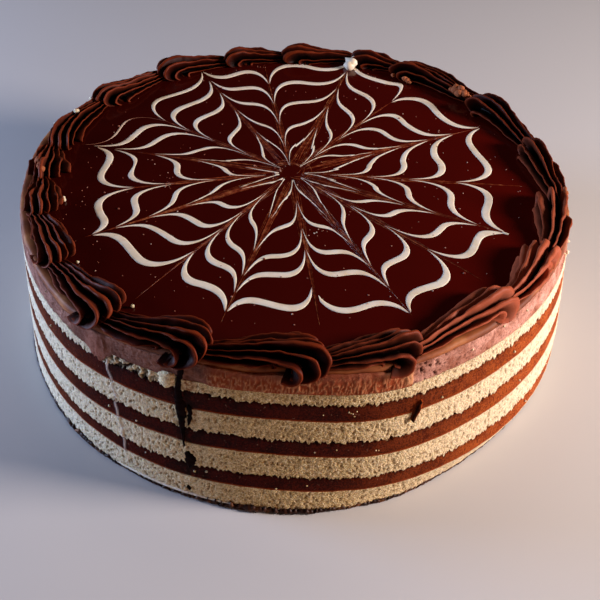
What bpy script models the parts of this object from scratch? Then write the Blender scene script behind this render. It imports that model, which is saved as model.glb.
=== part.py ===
# Triple chocolate mousse cake, whole and uncut, as it stands on a table.
#
# From the bottom up it is a thin chocolate foot, then four rounds of pale sponge with a
# chocolate mousse on each, a thin dark glaze, and a ring of piped ganache shells on the glaze.
# The sides are bare, so every round shows at the side and runs through the cake.
#
# Units are metres and +Z is up. The origin is the middle of the flat underside.

import math

import bmesh
import bpy

# Driving sizes of the cake

MM = 0.001
RADIUS = 120.0 * MM
FIT = 0.3 * MM
SIDE_POINTS = 72

# Each round from the bottom up: its name, its kind and its thickness at the middle
ROUNDS = (
    ("foot", "base_chocolate", 2.4 * MM),
    ("sponge_1", "sponge", 9.8 * MM),
    ("mousse_1", "dark_mousse", 7.0 * MM),
    ("sponge_2", "sponge", 11.1 * MM),
    ("mousse_2", "dark_mousse", 8.0 * MM),
    ("sponge_3", "sponge", 10.2 * MM),
    ("mousse_3", "dark_mousse", 8.2 * MM),
    ("sponge_4", "sponge", 5.8 * MM),
    ("mousse_4", "milk_mousse", 8.7 * MM),
    ("glaze", "glaze", 1.6 * MM),
)
GLAZE_TOP = sum(thickness for name, kind, thickness in ROUNDS)

# The side leans in towards the top, the rounds are a little thicker towards +X, and the
# rounds are stacked a little askew, each further to -X than the one below
SIDE_LEAN = 0.089
LEAN_LEVEL = 36.0 * MM
WEDGE = 0.045
STACK_LEAN = -0.040
STACK_LEVEL = 6.0 * MM

# Where the side bulges or is pressed in: angle and width in degrees, and share of the radius
BULGES = (
    (-133.0, 15.0, 0.015),
    (-93.0, 17.0, -0.017),
    (-72.0, 12.0, 0.015),
    (-18.0, 30.0, 0.013),
    (38.0, 24.0, -0.006),
    (96.0, 26.0, -0.029),
    (157.0, 22.0, 0.033),
)
FIRM_HEIGHT = 26.0 * MM
FIRMNESS_AT_BASE = 0.25

# Below this height the lowest sponge is tucked in at the front right
TUCK = 6.0 * MM
TUCK_ANGLE = -47.0
TUCK_WIDTH = 29.0
TUCK_HEIGHT = 12.2 * MM

# The foot spreads unevenly, with a squeezed-out lobe at the front
FOOT_SPREAD = 1.6 * MM
FOOT_WAVES = ((5, 0.40, 0.6), (11, 0.30, 2.1), (17, 0.20, 4.0))
LOBE_ANGLE = -86.0
LOBE_WIDTH = 5.0
LOBE_SPREAD = 1.8 * MM

# The ring of piped shells, numbered the way they were piped, clockwise seen from above.
# Each one starts with its round head and ends in a tail that the next head covers.
SHELL_STARTS = (76.0, 64.0, 39.0, 17.0, -5.0, -23.5, -41.5, -64.5, -82.0, -103.5,
                -124.0, -143.5, -161.5, -175.0, -188.0, -210.0, -230.0, -248.5, -265.0)
USUAL_SPAN = 19.0
SMALLEST_SHELL = 0.90
LONGEST_SPAN_COUNTED = 1.15
HEAD_INSET = 9.4 * MM
TAIL_INSET = 7.8 * MM
HEAD_HALF_WIDTH = 8.8 * MM
TAIL_HALF_WIDTH = 5.4 * MM
HEAD_HEIGHT = 8.6 * MM
TAIL_HEIGHT = 4.4 * MM
HEAD_REACH = 8.0 * MM
FALL_POWER = 1.4

# A shell's ribs are flat-topped fins with narrow grooves. In the head they curl over from
# its front foot to its top, side by side, and then run along to the tail.
FINS = 7
FIN_DEPTH = 2.4 * MM
TAIL_FIN_SHARE = 0.55
FIN_TOP = 0.30
SIDE_GAP = math.radians(13.0)
SEAT_SHARE = 0.80
CURL_STEPS = tuple(math.radians(degrees) for degrees in (0.0, 16.0, 34.0, 52.0, 71.0, 90.0))
RUN_STEPS = (0.12, 0.28, 0.46, 0.64, 0.83, 1.0)

# Colour, roughness and metallic value of each kind of piece
KINDS = {
    "base_chocolate": ((0.045, 0.013, 0.006), 0.45, 0.0),
    "sponge": ((0.72, 0.56, 0.33), 0.95, 0.0),
    "dark_mousse": ((0.105, 0.027, 0.014), 0.60, 0.0),
    "milk_mousse": ((0.36, 0.18, 0.12), 0.75, 0.0),
    "glaze": ((0.026, 0.004, 0.003), 0.12, 0.0),
    "ganache": ((0.060, 0.018, 0.010), 0.40, 0.0),
}
SMOOTH_ANGLE = math.radians(35.0)
SAME_POINT = 0.00001

WHOLE_TURN = 360.0


# Outline of the cake

def turn_between(angle, other):
    """The short way round in degrees from one angle to the other."""
    half = WHOLE_TURN / 2.0
    return (angle - other + half) % WHOLE_TURN - half


def side_radius(angle, height):
    """Radius of the side in the direction of an angle in degrees, at a height."""
    lean = SIDE_LEAN * (LEAN_LEVEL - height)
    firmness = min(1.0, max(FIRMNESS_AT_BASE, height / FIRM_HEIGHT))
    swell = 0.0
    for place, width, share in BULGES:
        swell += share * math.exp(-(turn_between(angle, place) / width) ** 2)
    lowness = max(0.0, 1.0 - height / TUCK_HEIGHT)
    tuck = TUCK * lowness * math.exp(-(turn_between(angle, TUCK_ANGLE) / TUCK_WIDTH) ** 2)
    return (RADIUS + lean) * (1.0 + firmness * swell) - tuck


def place_at(angle, radius, height):
    """X and Y at an angle in degrees and a radius about the stack's middle at a height."""
    askew = STACK_LEAN * (height - STACK_LEVEL)
    turn = math.radians(angle)
    return askew + radius * math.cos(turn), radius * math.sin(turn)


def foot_spread(angle):
    """How far the foot reaches past the side in the direction of an angle in degrees."""
    wave = 1.0
    for count, size, phase in FOOT_WAVES:
        wave += size * math.sin(count * math.radians(angle) + phase)
    lobe = math.exp(-(turn_between(angle, LOBE_ANGLE) / LOBE_WIDTH) ** 2)
    return FOOT_SPREAD * wave + LOBE_SPREAD * lobe


def tilted(height, x):
    """Height of a surface between rounds, which get thicker towards +X."""
    return height * (1.0 + WEDGE * x / RADIUS)


# The rounds

def make_round(name, kind, low, high, collection, root):
    """A round from its lower to its upper level, with its side on the cake's outline."""
    bpy.ops.mesh.primitive_cylinder_add(vertices=SIDE_POINTS, radius=RADIUS, depth=high - low)
    piece = bpy.context.active_object
    piece.name = name
    piece.data.name = name
    middle = (low + high) / 2.0
    for vertex in piece.data.vertices:
        angle = math.degrees(math.atan2(vertex.co.y, vertex.co.x))
        height = low if vertex.co.z < 0.0 else high
        radius = side_radius(angle, height)
        if name == "foot":
            radius += foot_spread(angle)
        x, y = place_at(angle, radius, height)
        vertex.co = (x, y, tilted(height, x) - middle)
    finish(piece, kind, collection)
    piece.location.z = middle
    piece.parent = root


def make_rounds(collection, root):
    """All the rounds, one on the other, with half of the fit taken off where two meet."""
    level = 0.0
    for name, kind, thickness in ROUNDS:
        low = level if name == "foot" else level + FIT / 2.0
        high = level + thickness
        if name != "glaze":
            high -= FIT / 2.0
        make_round(name, kind, low, high, collection, root)
        level += thickness


# The piped shells

def between(start, end, share):
    return start + (end - start) * share


def shell_section(run, size):
    """A section's points at a share of the run, sideways and upwards, outer side first."""
    fall = run ** FALL_POWER
    half_width = between(HEAD_HALF_WIDTH, TAIL_HALF_WIDTH, fall) * size
    height = between(HEAD_HEIGHT, TAIL_HEIGHT, fall) * size
    depth = FIN_DEPTH * between(1.0, TAIL_FIN_SHARE, fall) * size
    pitch = (math.pi - 2.0 * SIDE_GAP) / (FINS - 1)
    turns = []
    for fin in range(FINS):
        middle = SIDE_GAP + pitch * fin
        turns.append((middle - pitch * FIN_TOP, 0.0))
        turns.append((middle + pitch * FIN_TOP, 0.0))
        if fin < FINS - 1:
            turns.append((middle + pitch / 2.0, depth))
    points = [(SEAT_SHARE * half_width, 0.0)]
    for turn, inward in turns:
        points.append(((half_width - inward) * math.cos(turn), (height - inward) * math.sin(turn)))
    points.append((-SEAT_SHARE * half_width, 0.0))
    return points


def shell_rings(length, size):
    """Rings of points along, sideways and upwards: first the curl of the head, then the run."""
    reach = HEAD_REACH * size
    rings = []
    for curl in CURL_STEPS:
        ring = []
        for sideways, upwards in shell_section(0.0, size):
            forward = upwards / HEAD_HEIGHT * HEAD_REACH * math.cos(curl)
            ring.append((reach - forward, sideways, upwards * math.sin(curl)))
        rings.append(ring)
    for run in RUN_STEPS:
        along = between(reach, length, run)
        rings.append([(along, sideways, upwards) for sideways, upwards in shell_section(run, size)])
    return rings


def make_shell(number, start, span, collection, root):
    """One piped shell, running clockwise along the rim from its head to its tail."""
    mesh = bpy.data.meshes.new("shell_%02d" % number)
    piece = bpy.data.objects.new(mesh.name, mesh)
    size = between(SMALLEST_SHELL, 1.0, min(LONGEST_SPAN_COUNTED, span / USUAL_SPAN))
    seat = GLAZE_TOP + FIT
    head_line = side_radius(start, GLAZE_TOP) - HEAD_INSET
    length = math.radians(span) * head_line - FIT
    loft = bmesh.new()
    rings = []
    for points in shell_rings(length, size):
        ring = []
        for along, sideways, upwards in points:
            angle = start - math.degrees(along / head_line)
            inset = between(HEAD_INSET, TAIL_INSET, along / length)
            line = side_radius(angle, GLAZE_TOP) - inset
            x, y = place_at(angle, line + sideways, GLAZE_TOP)
            ring.append(loft.verts.new((x, y, tilted(seat, x) + upwards)))
        rings.append(ring)
    for ring, after in zip(rings, rings[1:]):
        for place in range(len(ring)):
            beyond = (place + 1) % len(ring)
            loft.faces.new((ring[place], ring[beyond], after[beyond], after[place]))
    loft.faces.new(reversed(rings[0]))
    loft.faces.new(rings[-1])
    bmesh.ops.remove_doubles(loft, verts=loft.verts, dist=SAME_POINT)
    bmesh.ops.recalc_face_normals(loft, faces=loft.faces)
    loft.to_mesh(mesh)
    loft.free()
    finish(piece, "ganache", collection)
    piece.parent = root


def make_shells(collection, root):
    """The ring of shells, each reaching to where the next one starts."""
    for number, start in enumerate(SHELL_STARTS):
        following = SHELL_STARTS[(number + 1) % len(SHELL_STARTS)]
        span = (start - following) % WHOLE_TURN
        make_shell(number + 1, start, span, collection, root)


# Finishing and putting together

def make_material(kind):
    colour, roughness, metallic = KINDS[kind]
    material = bpy.data.materials.new(kind)
    material.use_nodes = True
    shader = material.node_tree.nodes["Principled BSDF"]
    shader.inputs["Base Color"].default_value = (*colour, 1.0)
    shader.inputs["Roughness"].default_value = roughness
    shader.inputs["Metallic"].default_value = metallic
    return material


def finish(piece, kind, collection):
    """Give a piece its material and shading, and keep it in the cake's collection only."""
    material = bpy.data.materials.get(kind)
    if material is None:
        material = make_material(kind)
    piece.data.materials.append(material)
    piece.data.shade_smooth()
    piece.data.set_sharp_from_angle(angle=SMOOTH_ANGLE)
    for holder in list(piece.users_collection):
        holder.objects.unlink(piece)
    collection.objects.link(piece)


def build_cake():
    for old in list(bpy.data.objects):
        bpy.data.objects.remove(old)
    collection = bpy.data.collections.new("triple_chocolate_mousse_cake")
    bpy.context.scene.collection.children.link(collection)
    root = bpy.data.objects.new("cake", None)
    collection.objects.link(root)
    make_rounds(collection, root)
    make_shells(collection, root)


build_cake()
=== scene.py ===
# Triple chocolate mousse cake: its looks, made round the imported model.
#
# Bare sides of sponge and mousse rounds, a dark poured glaze with a feathered cream web,
# and a ring of piped ganache shells. Metres, +Z up, the origin under the middle of the cake.
# Directions round the cake are in degrees, anticlockwise from +X.

import math
import random
from collections import namedtuple

import bmesh
import bpy
import numpy as np
from mathutils import Matrix, Vector, noise


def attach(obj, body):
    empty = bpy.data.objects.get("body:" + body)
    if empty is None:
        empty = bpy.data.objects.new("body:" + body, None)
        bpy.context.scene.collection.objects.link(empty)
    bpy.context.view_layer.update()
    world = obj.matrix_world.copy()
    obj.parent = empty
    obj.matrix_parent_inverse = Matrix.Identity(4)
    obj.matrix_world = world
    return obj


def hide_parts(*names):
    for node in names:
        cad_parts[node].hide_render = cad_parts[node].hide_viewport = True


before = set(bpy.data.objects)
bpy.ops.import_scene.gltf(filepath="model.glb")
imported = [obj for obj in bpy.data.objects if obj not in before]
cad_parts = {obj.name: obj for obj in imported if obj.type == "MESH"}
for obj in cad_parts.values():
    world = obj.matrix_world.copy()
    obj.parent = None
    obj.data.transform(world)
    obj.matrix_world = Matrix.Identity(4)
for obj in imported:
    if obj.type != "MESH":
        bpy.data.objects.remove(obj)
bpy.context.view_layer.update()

MM = 0.001
WHOLE_TURN = 360.0

# Sizes of the cake, as its solids have them
RADIUS = 120.0 * MM
# The side tapers as it rises, and has the full radius at this level
SIDE_LEAN = 0.089
LEAN_LEVEL = 36.0 * MM
# The rounds are thicker on one side, and the stack leans over to the other
WEDGE = 0.045
STACK_LEAN = -0.040
STACK_LEVEL = 6.0 * MM
# Where the side swells or is pressed in: direction, width, and share of the radius
BULGES = (
    (-133.0, 15.0, 0.015),
    (-93.0, 17.0, -0.017),
    (-72.0, 12.0, 0.015),
    (-18.0, 30.0, 0.013),
    (38.0, 24.0, -0.006),
    (96.0, 26.0, -0.029),
    (157.0, 22.0, 0.033),
)
# Low down the side swells less
FIRM_HEIGHT = 26.0 * MM
FIRMNESS_AT_BASE = 0.25
# The lowest sponge is tucked in at one place
TUCK = 6.0 * MM
TUCK_ANGLE = -47.0
TUCK_WIDTH = 29.0
TUCK_HEIGHT = 12.2 * MM
# The foot reaches past the side, in waves of so many round the cake, each with its size and
# phase, and in one squeezed-out lobe
FOOT_SPREAD = 1.6 * MM
FOOT_WAVES = ((5, 0.40, 0.6), (11, 0.30, 2.1), (17, 0.20, 4.0))
LOBE_ANGLE = -86.0
LOBE_WIDTH = 5.0
LOBE_SPREAD = 1.8 * MM

# Rounds from the bottom up: name, kind, and the level of its top
GLAZE_TOP = 72.8 * MM
ROUNDS = (
    ("foot", "foot", 1.5 * MM),
    ("sponge_1", "sponge", 12.2 * MM),
    ("mousse_1", "mousse", 19.2 * MM),
    ("sponge_2", "sponge", 30.3 * MM),
    ("mousse_2", "mousse", 38.3 * MM),
    ("sponge_3", "sponge", 48.5 * MM),
    ("mousse_3", "mousse", 56.7 * MM),
    ("sponge_4", "sponge", 62.5 * MM),
    ("mousse_4", "milk_mousse", 71.2 * MM),
    ("glaze", "glaze", GLAZE_TOP),
)

# Fineness of the side's mesh: a column every 0.42 mm, a row of sponge every 0.45 mm
COLUMNS = 1800
CRUMB_ROW = 0.45 * MM
MOUSSE_ROW = 0.80 * MM

COLUMN_ANGLES = np.arange(COLUMNS) * (WHOLE_TURN / COLUMNS) - 180.0


# Shape of the cake

def between(start, end, share):
    """The value at a share of the way from start to end."""
    return start + (end - start) * share


def eased(low, high, value):
    """0 below low, 1 above high, and a soft rise from one to the other."""
    share = np.clip((value - low) / (high - low), 0.0, 1.0)
    return share * share * (3.0 - 2.0 * share)


def turn_between(angle, other):
    """The short way round in degrees from one angle to the other."""
    half = WHOLE_TURN / 2.0
    return (angle - other + half) % WHOLE_TURN - half


def near_angle(angle, place, width):
    """1 in a direction, falling softly to 0 on both sides of it."""
    return np.exp(-(turn_between(angle, place) / width) ** 2)


def swell_at(angle):
    """How far the side swells out in a direction, as a share of the radius."""
    return sum(share * near_angle(angle, place, width) for place, width, share in BULGES)


def side_radius(angle, height):
    """Radius of the side in a direction, at a height."""
    lean = SIDE_LEAN * (LEAN_LEVEL - height)
    firmness = np.clip(height / FIRM_HEIGHT, FIRMNESS_AT_BASE, 1.0)
    lowness = np.maximum(0.0, 1.0 - height / TUCK_HEIGHT)
    tuck = TUCK * lowness * near_angle(angle, TUCK_ANGLE, TUCK_WIDTH)
    return (RADIUS + lean) * (1.0 + firmness * swell_at(angle)) - tuck


def foot_spread(angle):
    """How far the foot reaches past the side in a direction."""
    wave = 1.0
    for count, size, phase in FOOT_WAVES:
        wave = wave + size * np.sin(count * np.radians(angle) + phase)
    return FOOT_SPREAD * wave + LOBE_SPREAD * near_angle(angle, LOBE_ANGLE, LOBE_WIDTH)


def on_cake(angle, radius, height):
    """Points at angles, radii and heights about the stack, with the rounds' wedge."""
    turn = np.radians(angle)
    x = STACK_LEAN * (height - STACK_LEVEL) + radius * np.cos(turn)
    y = radius * np.sin(turn)
    return np.stack([x, y, height * (1.0 + WEDGE * x / RADIUS)], axis=-1)


# Noise for relief. A seed moves the noise along, so that no two pieces have the same

LUMP_SHIFT = 13.7
PORE_SHIFT = 7.3


def lumps(points, size, octaves, seed):
    """Soft noise of about -1 to 1 at each point, in lumps of a size."""
    flat = points.reshape(-1, 3) / size + seed * LUMP_SHIFT
    values = [noise.fractal(Vector(place), 1.0, 2.0, octaves) for place in flat.tolist()]
    return np.array(values).reshape(points.shape[:-1])


def patches(points, size, octaves, seed, low, high):
    """1 in some lumps of a size and 0 in others, as the noise there is over high or under low."""
    return eased(low, high, lumps(points, size, octaves, seed))


def pores(points, size, seed, inner, outer):
    """1 in the middle of each pore and 0 between the pores, in cells of a size. The pore's
    soft rim lies between two distances from its middle, as shares of a cell."""
    flat = points.reshape(-1, 3) / size + seed * PORE_SHIFT
    near = [noise.voronoi(Vector(place))[0][0] for place in flat.tolist()]
    return 1.0 - eased(inner, outer, np.array(near).reshape(points.shape[:-1]))


def stretched(points, along, upwards):
    """Points as arc length and height, for noise that is longer one way than the other."""
    angle = np.arctan2(points[..., 1], points[..., 0])
    return np.stack([np.cos(angle) * RADIUS / along, np.sin(angle) * RADIUS / along,
                     points[..., 2] / upwards], axis=-1)


# Meshes

def make_piece(name, points, faces, material, marks):
    """A smooth mesh piece that rides on the cake, with named marks at its points. Where a mark
    has fewer values than the piece has points, they repeat."""
    mesh = bpy.data.meshes.new(name)
    mesh.from_pydata(points.tolist(), [], faces)
    mesh.update()
    mesh.polygons.foreach_set("use_smooth", [True] * len(mesh.polygons))
    for mark, values in marks.items():
        layer = mesh.attributes.new(mark, "FLOAT", "POINT")
        layer.data.foreach_set("value", np.resize(values, len(points)).astype(np.float32))
    mesh.materials.append(material)
    piece = bpy.data.objects.new(name, mesh)
    bpy.context.scene.collection.objects.link(piece)
    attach(piece, "root")
    return piece


def band_faces(rows, columns):
    """Quads between rings of points, each ring closed round the cake."""
    here = np.arange(columns)
    beyond = (here + 1) % columns
    faces = []
    for row in range(rows - 1):
        low = row * columns
        high = low + columns
        faces.extend(zip((low + here).tolist(), (low + beyond).tolist(),
                         (high + beyond).tolist(), (high + here).tolist()))
    return faces


def make_round(name, rings, material, marks):
    """A closed round from rings of points, bottom ring first, with flat ends."""
    rows, columns = rings.shape[:2]
    faces = band_faces(rows, columns)
    faces.append(tuple(reversed(range(columns))))
    faces.append(tuple(range((rows - 1) * columns, rows * columns)))
    piece = make_piece(name, rings.reshape(-1, 3), faces, material, marks)
    for polygon in (piece.data.polygons[-1], piece.data.polygons[-2]):
        polygon.use_smooth = False
    return piece


def gather_tube(points, faces, rings):
    """Adds a closed tube of rings to a growing list of points and faces."""
    base = len(points)
    steps, around = rings.shape[:2]
    points.extend(rings.reshape(-1, 3).tolist())
    for step in range(steps - 1):
        for place in range(around):
            beyond = (place + 1) % around
            here = base + step * around
            faces.append((here + place, here + around + place,
                          here + around + beyond, here + beyond))
    faces.append(tuple(base + place for place in range(around)))
    last = base + (steps - 1) * around
    faces.append(tuple(last + place for place in reversed(range(around))))


def face_outwards(piece):
    """Turns each of the piece's faces to the outside."""
    shape = bmesh.new()
    shape.from_mesh(piece.data)
    bmesh.ops.recalc_face_normals(shape, faces=shape.faces)
    shape.to_mesh(piece.data)
    shape.free()


# Materials

def linear(code):
    """An sRGB hex colour as linear values with full alpha."""
    values = [int(code[place:place + 2], 16) / 255.0 for place in (1, 3, 5)]
    turned = [v / 12.92 if v <= 0.04045 else ((v + 0.055) / 1.055) ** 2.4 for v in values]
    return (*turned, 1.0)


def add_node(tree, kind, settings=None, links=None):
    """A node with its settings, and its inputs filled by values, colours or other outputs."""
    node = tree.nodes.new(kind)
    for name, value in (settings or {}).items():
        if name == "stops":
            while len(node.color_ramp.elements) < len(value):
                node.color_ramp.elements.new(0.5)
            for element, (place, colour) in zip(node.color_ramp.elements, value):
                element.position = place
                element.color = linear(colour)
        else:
            setattr(node, name, value)
    for name, value in (links or {}).items():
        if isinstance(value, bpy.types.NodeSocket):
            tree.links.new(value, node.inputs[name])
        elif isinstance(value, str):
            node.inputs[name].default_value = linear(value)
        else:
            node.inputs[name].default_value = value
    return node


def new_material(name, **sockets):
    """A material with its shader's own sockets set, and its object coordinates."""
    material = bpy.data.materials.new(name)
    material.use_nodes = True
    tree = material.node_tree
    shader = tree.nodes["Principled BSDF"]
    for socket, value in sockets.items():
        shader.inputs[socket.replace("_", " ")].default_value = value
    place = add_node(tree, "ShaderNodeTexCoord").outputs["Object"]
    return material, tree, shader, place


NOISE = "ShaderNodeTexNoise"
RAMP = "ShaderNodeValToRGB"
MIX = "ShaderNodeMix"
MARK = "ShaderNodeAttribute"
BUMP = "ShaderNodeBump"
MAP_RANGE = "ShaderNodeMapRange"
COLOUR_MIX = {"data_type": "RGBA"}
VALUE_MIX = {"data_type": "FLOAT"}
# A mix node's sockets go by number, because several of them have one name: its share, its two
# colours and the mixed one, and its two values and the mixed one
FACTOR, FIRST, SECOND, MIXED = 0, 6, 7, 2
FIRST_VALUE, SECOND_VALUE, MIXED_VALUE = 2, 3, 0


def share_across(tree, place, reach):
    """0 at the left to 1 at the right within a reach from the middle, for what changes from
    one side of the cake to the other."""
    axes = add_node(tree, "ShaderNodeSeparateXYZ", None, {"Vector": place})
    return add_node(tree, MAP_RANGE, None, {"Value": axes.outputs["X"], "From Min": -reach,
                                            "From Max": reach}).outputs["Result"]


def sponge_crumb():
    """Cut vanilla sponge, baked: open pale crumb that scatters light, with no gloss at all."""
    material, tree, shader, place = new_material(
        "cut_vanilla_sponge", Roughness=0.95, IOR=1.40, Specular_IOR_Level=0.15,
        Subsurface_Weight=0.15, Subsurface_Radius=(0.9, 0.6, 0.3), Subsurface_Scale=1.4 * MM)
    # The pores of 1 to 2 mm are in the mesh, and the crumb's grain of 0.4 mm is here
    grain = add_node(tree, NOISE, None, {"Vector": place, "Scale": 1.0 / (0.42 * MM),
                                         "Detail": 3.0, "Roughness": 0.65}).outputs["Fac"]
    crumb = add_node(tree, RAMP, {"stops": ((0.34, "#B48A4C"), (0.50, "#E4C88E"),
                                            (0.64, "#FFF2CE"))}, {"Fac": grain})
    # Patches of about 12 mm are baked a little darker
    patch = add_node(tree, NOISE, None, {"Vector": place, "Scale": 1.0 / (12.0 * MM),
                                         "Detail": 2.0}).outputs["Fac"]
    toast = add_node(tree, RAMP, {"stops": ((0.45, "#000000"), (0.75, "#4A4A4A"))},
                     {"Fac": patch})
    tinted = add_node(tree, MIX, COLOUR_MIX, {FACTOR: toast.outputs["Color"],
                                              FIRST: crumb.outputs["Color"],
                                              SECOND: "#D6BE8C"})
    # Painted shade in the smaller pores, about 0.9 mm across. It shows less where the sponge is
    # painted palest
    cell = add_node(tree, "ShaderNodeTexVoronoi", None, {"Vector": place,
                                                         "Scale": 1.0 / (0.95 * MM)})
    small = add_node(tree, RAMP, {"stops": ((0.20, "#C8C8C8"), (0.50, "#000000"))},
                     {"Fac": cell.outputs["Distance"]})
    fine_pore_shaded = add_node(tree, MIX, COLOUR_MIX, {FACTOR: small.outputs["Color"],
                                                  FIRST: tinted.outputs[MIXED],
                                                  SECOND: "#7A541E"})
    # Painted light: paler towards both sides, where the light falls, and deepest in front, in
    # painted shade
    painted_light_across = add_node(tree, RAMP, {"stops": ((0.02, "#FFFFFF"), (0.24, "#C4C4C4"),
                                            (0.42, "#202020"), (0.58, "#000000"),
                                            (0.92, "#E6E6E6"))},
                     {"Fac": share_across(tree, place, RADIUS)})
    colour = add_node(tree, MIX, COLOUR_MIX, {FACTOR: painted_light_across.outputs["Color"],
                                              FIRST: fine_pore_shaded.outputs[MIXED],
                                              SECOND: "#FAEACC"}).outputs[MIXED]
    # Painted shade in the pores, chocolate soaked in from the next round, the torn place, and a
    # painted highlight along the raised crease of the lining
    for mark, tint in (("pore", "#704A1C"), ("stain", "#9A5A2C"), ("torn", "#2C120A"),
                       ("thread", "#FBF6EE")):
        share = add_node(tree, MARK, {"attribute_name": mark}).outputs["Fac"]
        colour = add_node(tree, MIX, COLOUR_MIX, {FACTOR: share, FIRST: colour,
                                                  SECOND: tint}).outputs[MIXED]
    tree.links.new(colour, shader.inputs["Base Color"])
    strands = add_node(tree, "ShaderNodeMath", {"operation": "ADD"},
                       {0: cell.outputs["Distance"], 1: grain})
    relief = add_node(tree, BUMP, None, {"Height": strands.outputs["Value"],
                                         "Distance": 0.36 * MM, "Strength": 0.8})
    tree.links.new(relief.outputs["Normal"], shader.inputs["Normal"])
    return material


def dark_mousse():
    """Dark chocolate mousse, poured and set: dense and satin, reddish brown, finely grained."""
    material, tree, shader, place = new_material(
        "set_dark_chocolate_mousse", Roughness=0.62, IOR=1.45, Specular_IOR_Level=0.06)
    # The grain of fine bubbles is drawn 0.7 mm wide, coarser than the real one, so that it
    # shows. It lies over a mottle of 7 mm
    grain = add_node(tree, NOISE, None, {"Vector": place, "Scale": 1.0 / (0.7 * MM),
                                         "Detail": 4.0, "Roughness": 0.7}).outputs["Fac"]
    patch = add_node(tree, NOISE, None, {"Vector": place, "Scale": 1.0 / (7.0 * MM),
                                         "Detail": 3.0}).outputs["Fac"]
    mottle = add_node(tree, MIX, VALUE_MIX, {FACTOR: 0.7, FIRST_VALUE: patch,
                                             SECOND_VALUE: grain}).outputs[MIXED_VALUE]
    # A colour in painted shade and one in painted light, mixed across the cake below
    shaded_colour = add_node(tree, RAMP, {"stops": ((0.42, "#220402"), (0.58, "#4C0E05"))},
                         {"Fac": mottle})
    lit_colour = add_node(tree, RAMP, {"stops": ((0.42, "#742808"), (0.58, "#BE6028"))},
                         {"Fac": mottle})
    # Painted light: darkest in front, in painted shade, a little paler on the left and palest on
    # the right, where the light falls
    painted_light_across = add_node(tree, RAMP, {"stops": ((0.00, "#A4A4A4"), (0.20, "#242424"),
                                            (0.42, "#000000"), (0.58, "#404040"),
                                            (0.72, "#9C9C9C"), (0.90, "#FFFFFF"))},
                     {"Fac": share_across(tree, place, RADIUS)})
    body = add_node(tree, MIX, COLOUR_MIX, {FACTOR: painted_light_across.outputs["Color"],
                                            FIRST: shaded_colour.outputs["Color"],
                                            SECOND: lit_colour.outputs["Color"]})
    # Painted shade in the hollows of the grain
    grain_shade = add_node(tree, RAMP, {"stops": ((0.30, "#D0D0D0"), (0.43, "#000000"))},
                    {"Fac": grain})
    grain_shaded = add_node(tree, MIX, COLOUR_MIX, {FACTOR: grain_shade.outputs["Color"],
                                              FIRST: body.outputs[MIXED],
                                              SECOND: "#240802"})
    # A few pale specks of crumb, about 1 mm wide, stick to it
    speck_noise = add_node(tree, NOISE, None, {"Vector": place, "Scale": 1.0 / (1.1 * MM),
                                               "Detail": 2.0}).outputs["Fac"]
    specks = add_node(tree, RAMP, {"stops": ((0.69, "#000000"), (0.76, "#A0A0A0"))},
                      {"Fac": speck_noise})
    colour = add_node(tree, MIX, COLOUR_MIX, {FACTOR: specks.outputs["Color"],
                                              FIRST: grain_shaded.outputs[MIXED],
                                              SECOND: "#C89A80"}).outputs[MIXED]
    # A painted highlight along the edge that rests on the sponge, painted shade in the gaps under
    # the next sponge's fringe and the drip's dark smear, and a painted highlight on the raised
    # crease
    for mark, tint in (("edge", "#B04A14"), ("pore", "#140602"), ("thread", "#FFF0E8")):
        share = add_node(tree, MARK, {"attribute_name": mark}).outputs["Fac"]
        colour = add_node(tree, MIX, COLOUR_MIX, {FACTOR: share, FIRST: colour,
                                                  SECOND: tint}).outputs[MIXED]
    tree.links.new(colour, shader.inputs["Base Color"])
    relief = add_node(tree, BUMP, None, {"Height": grain, "Distance": 0.18 * MM,
                                         "Strength": 0.8})
    tree.links.new(relief.outputs["Normal"], shader.inputs["Normal"])
    return material


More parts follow.
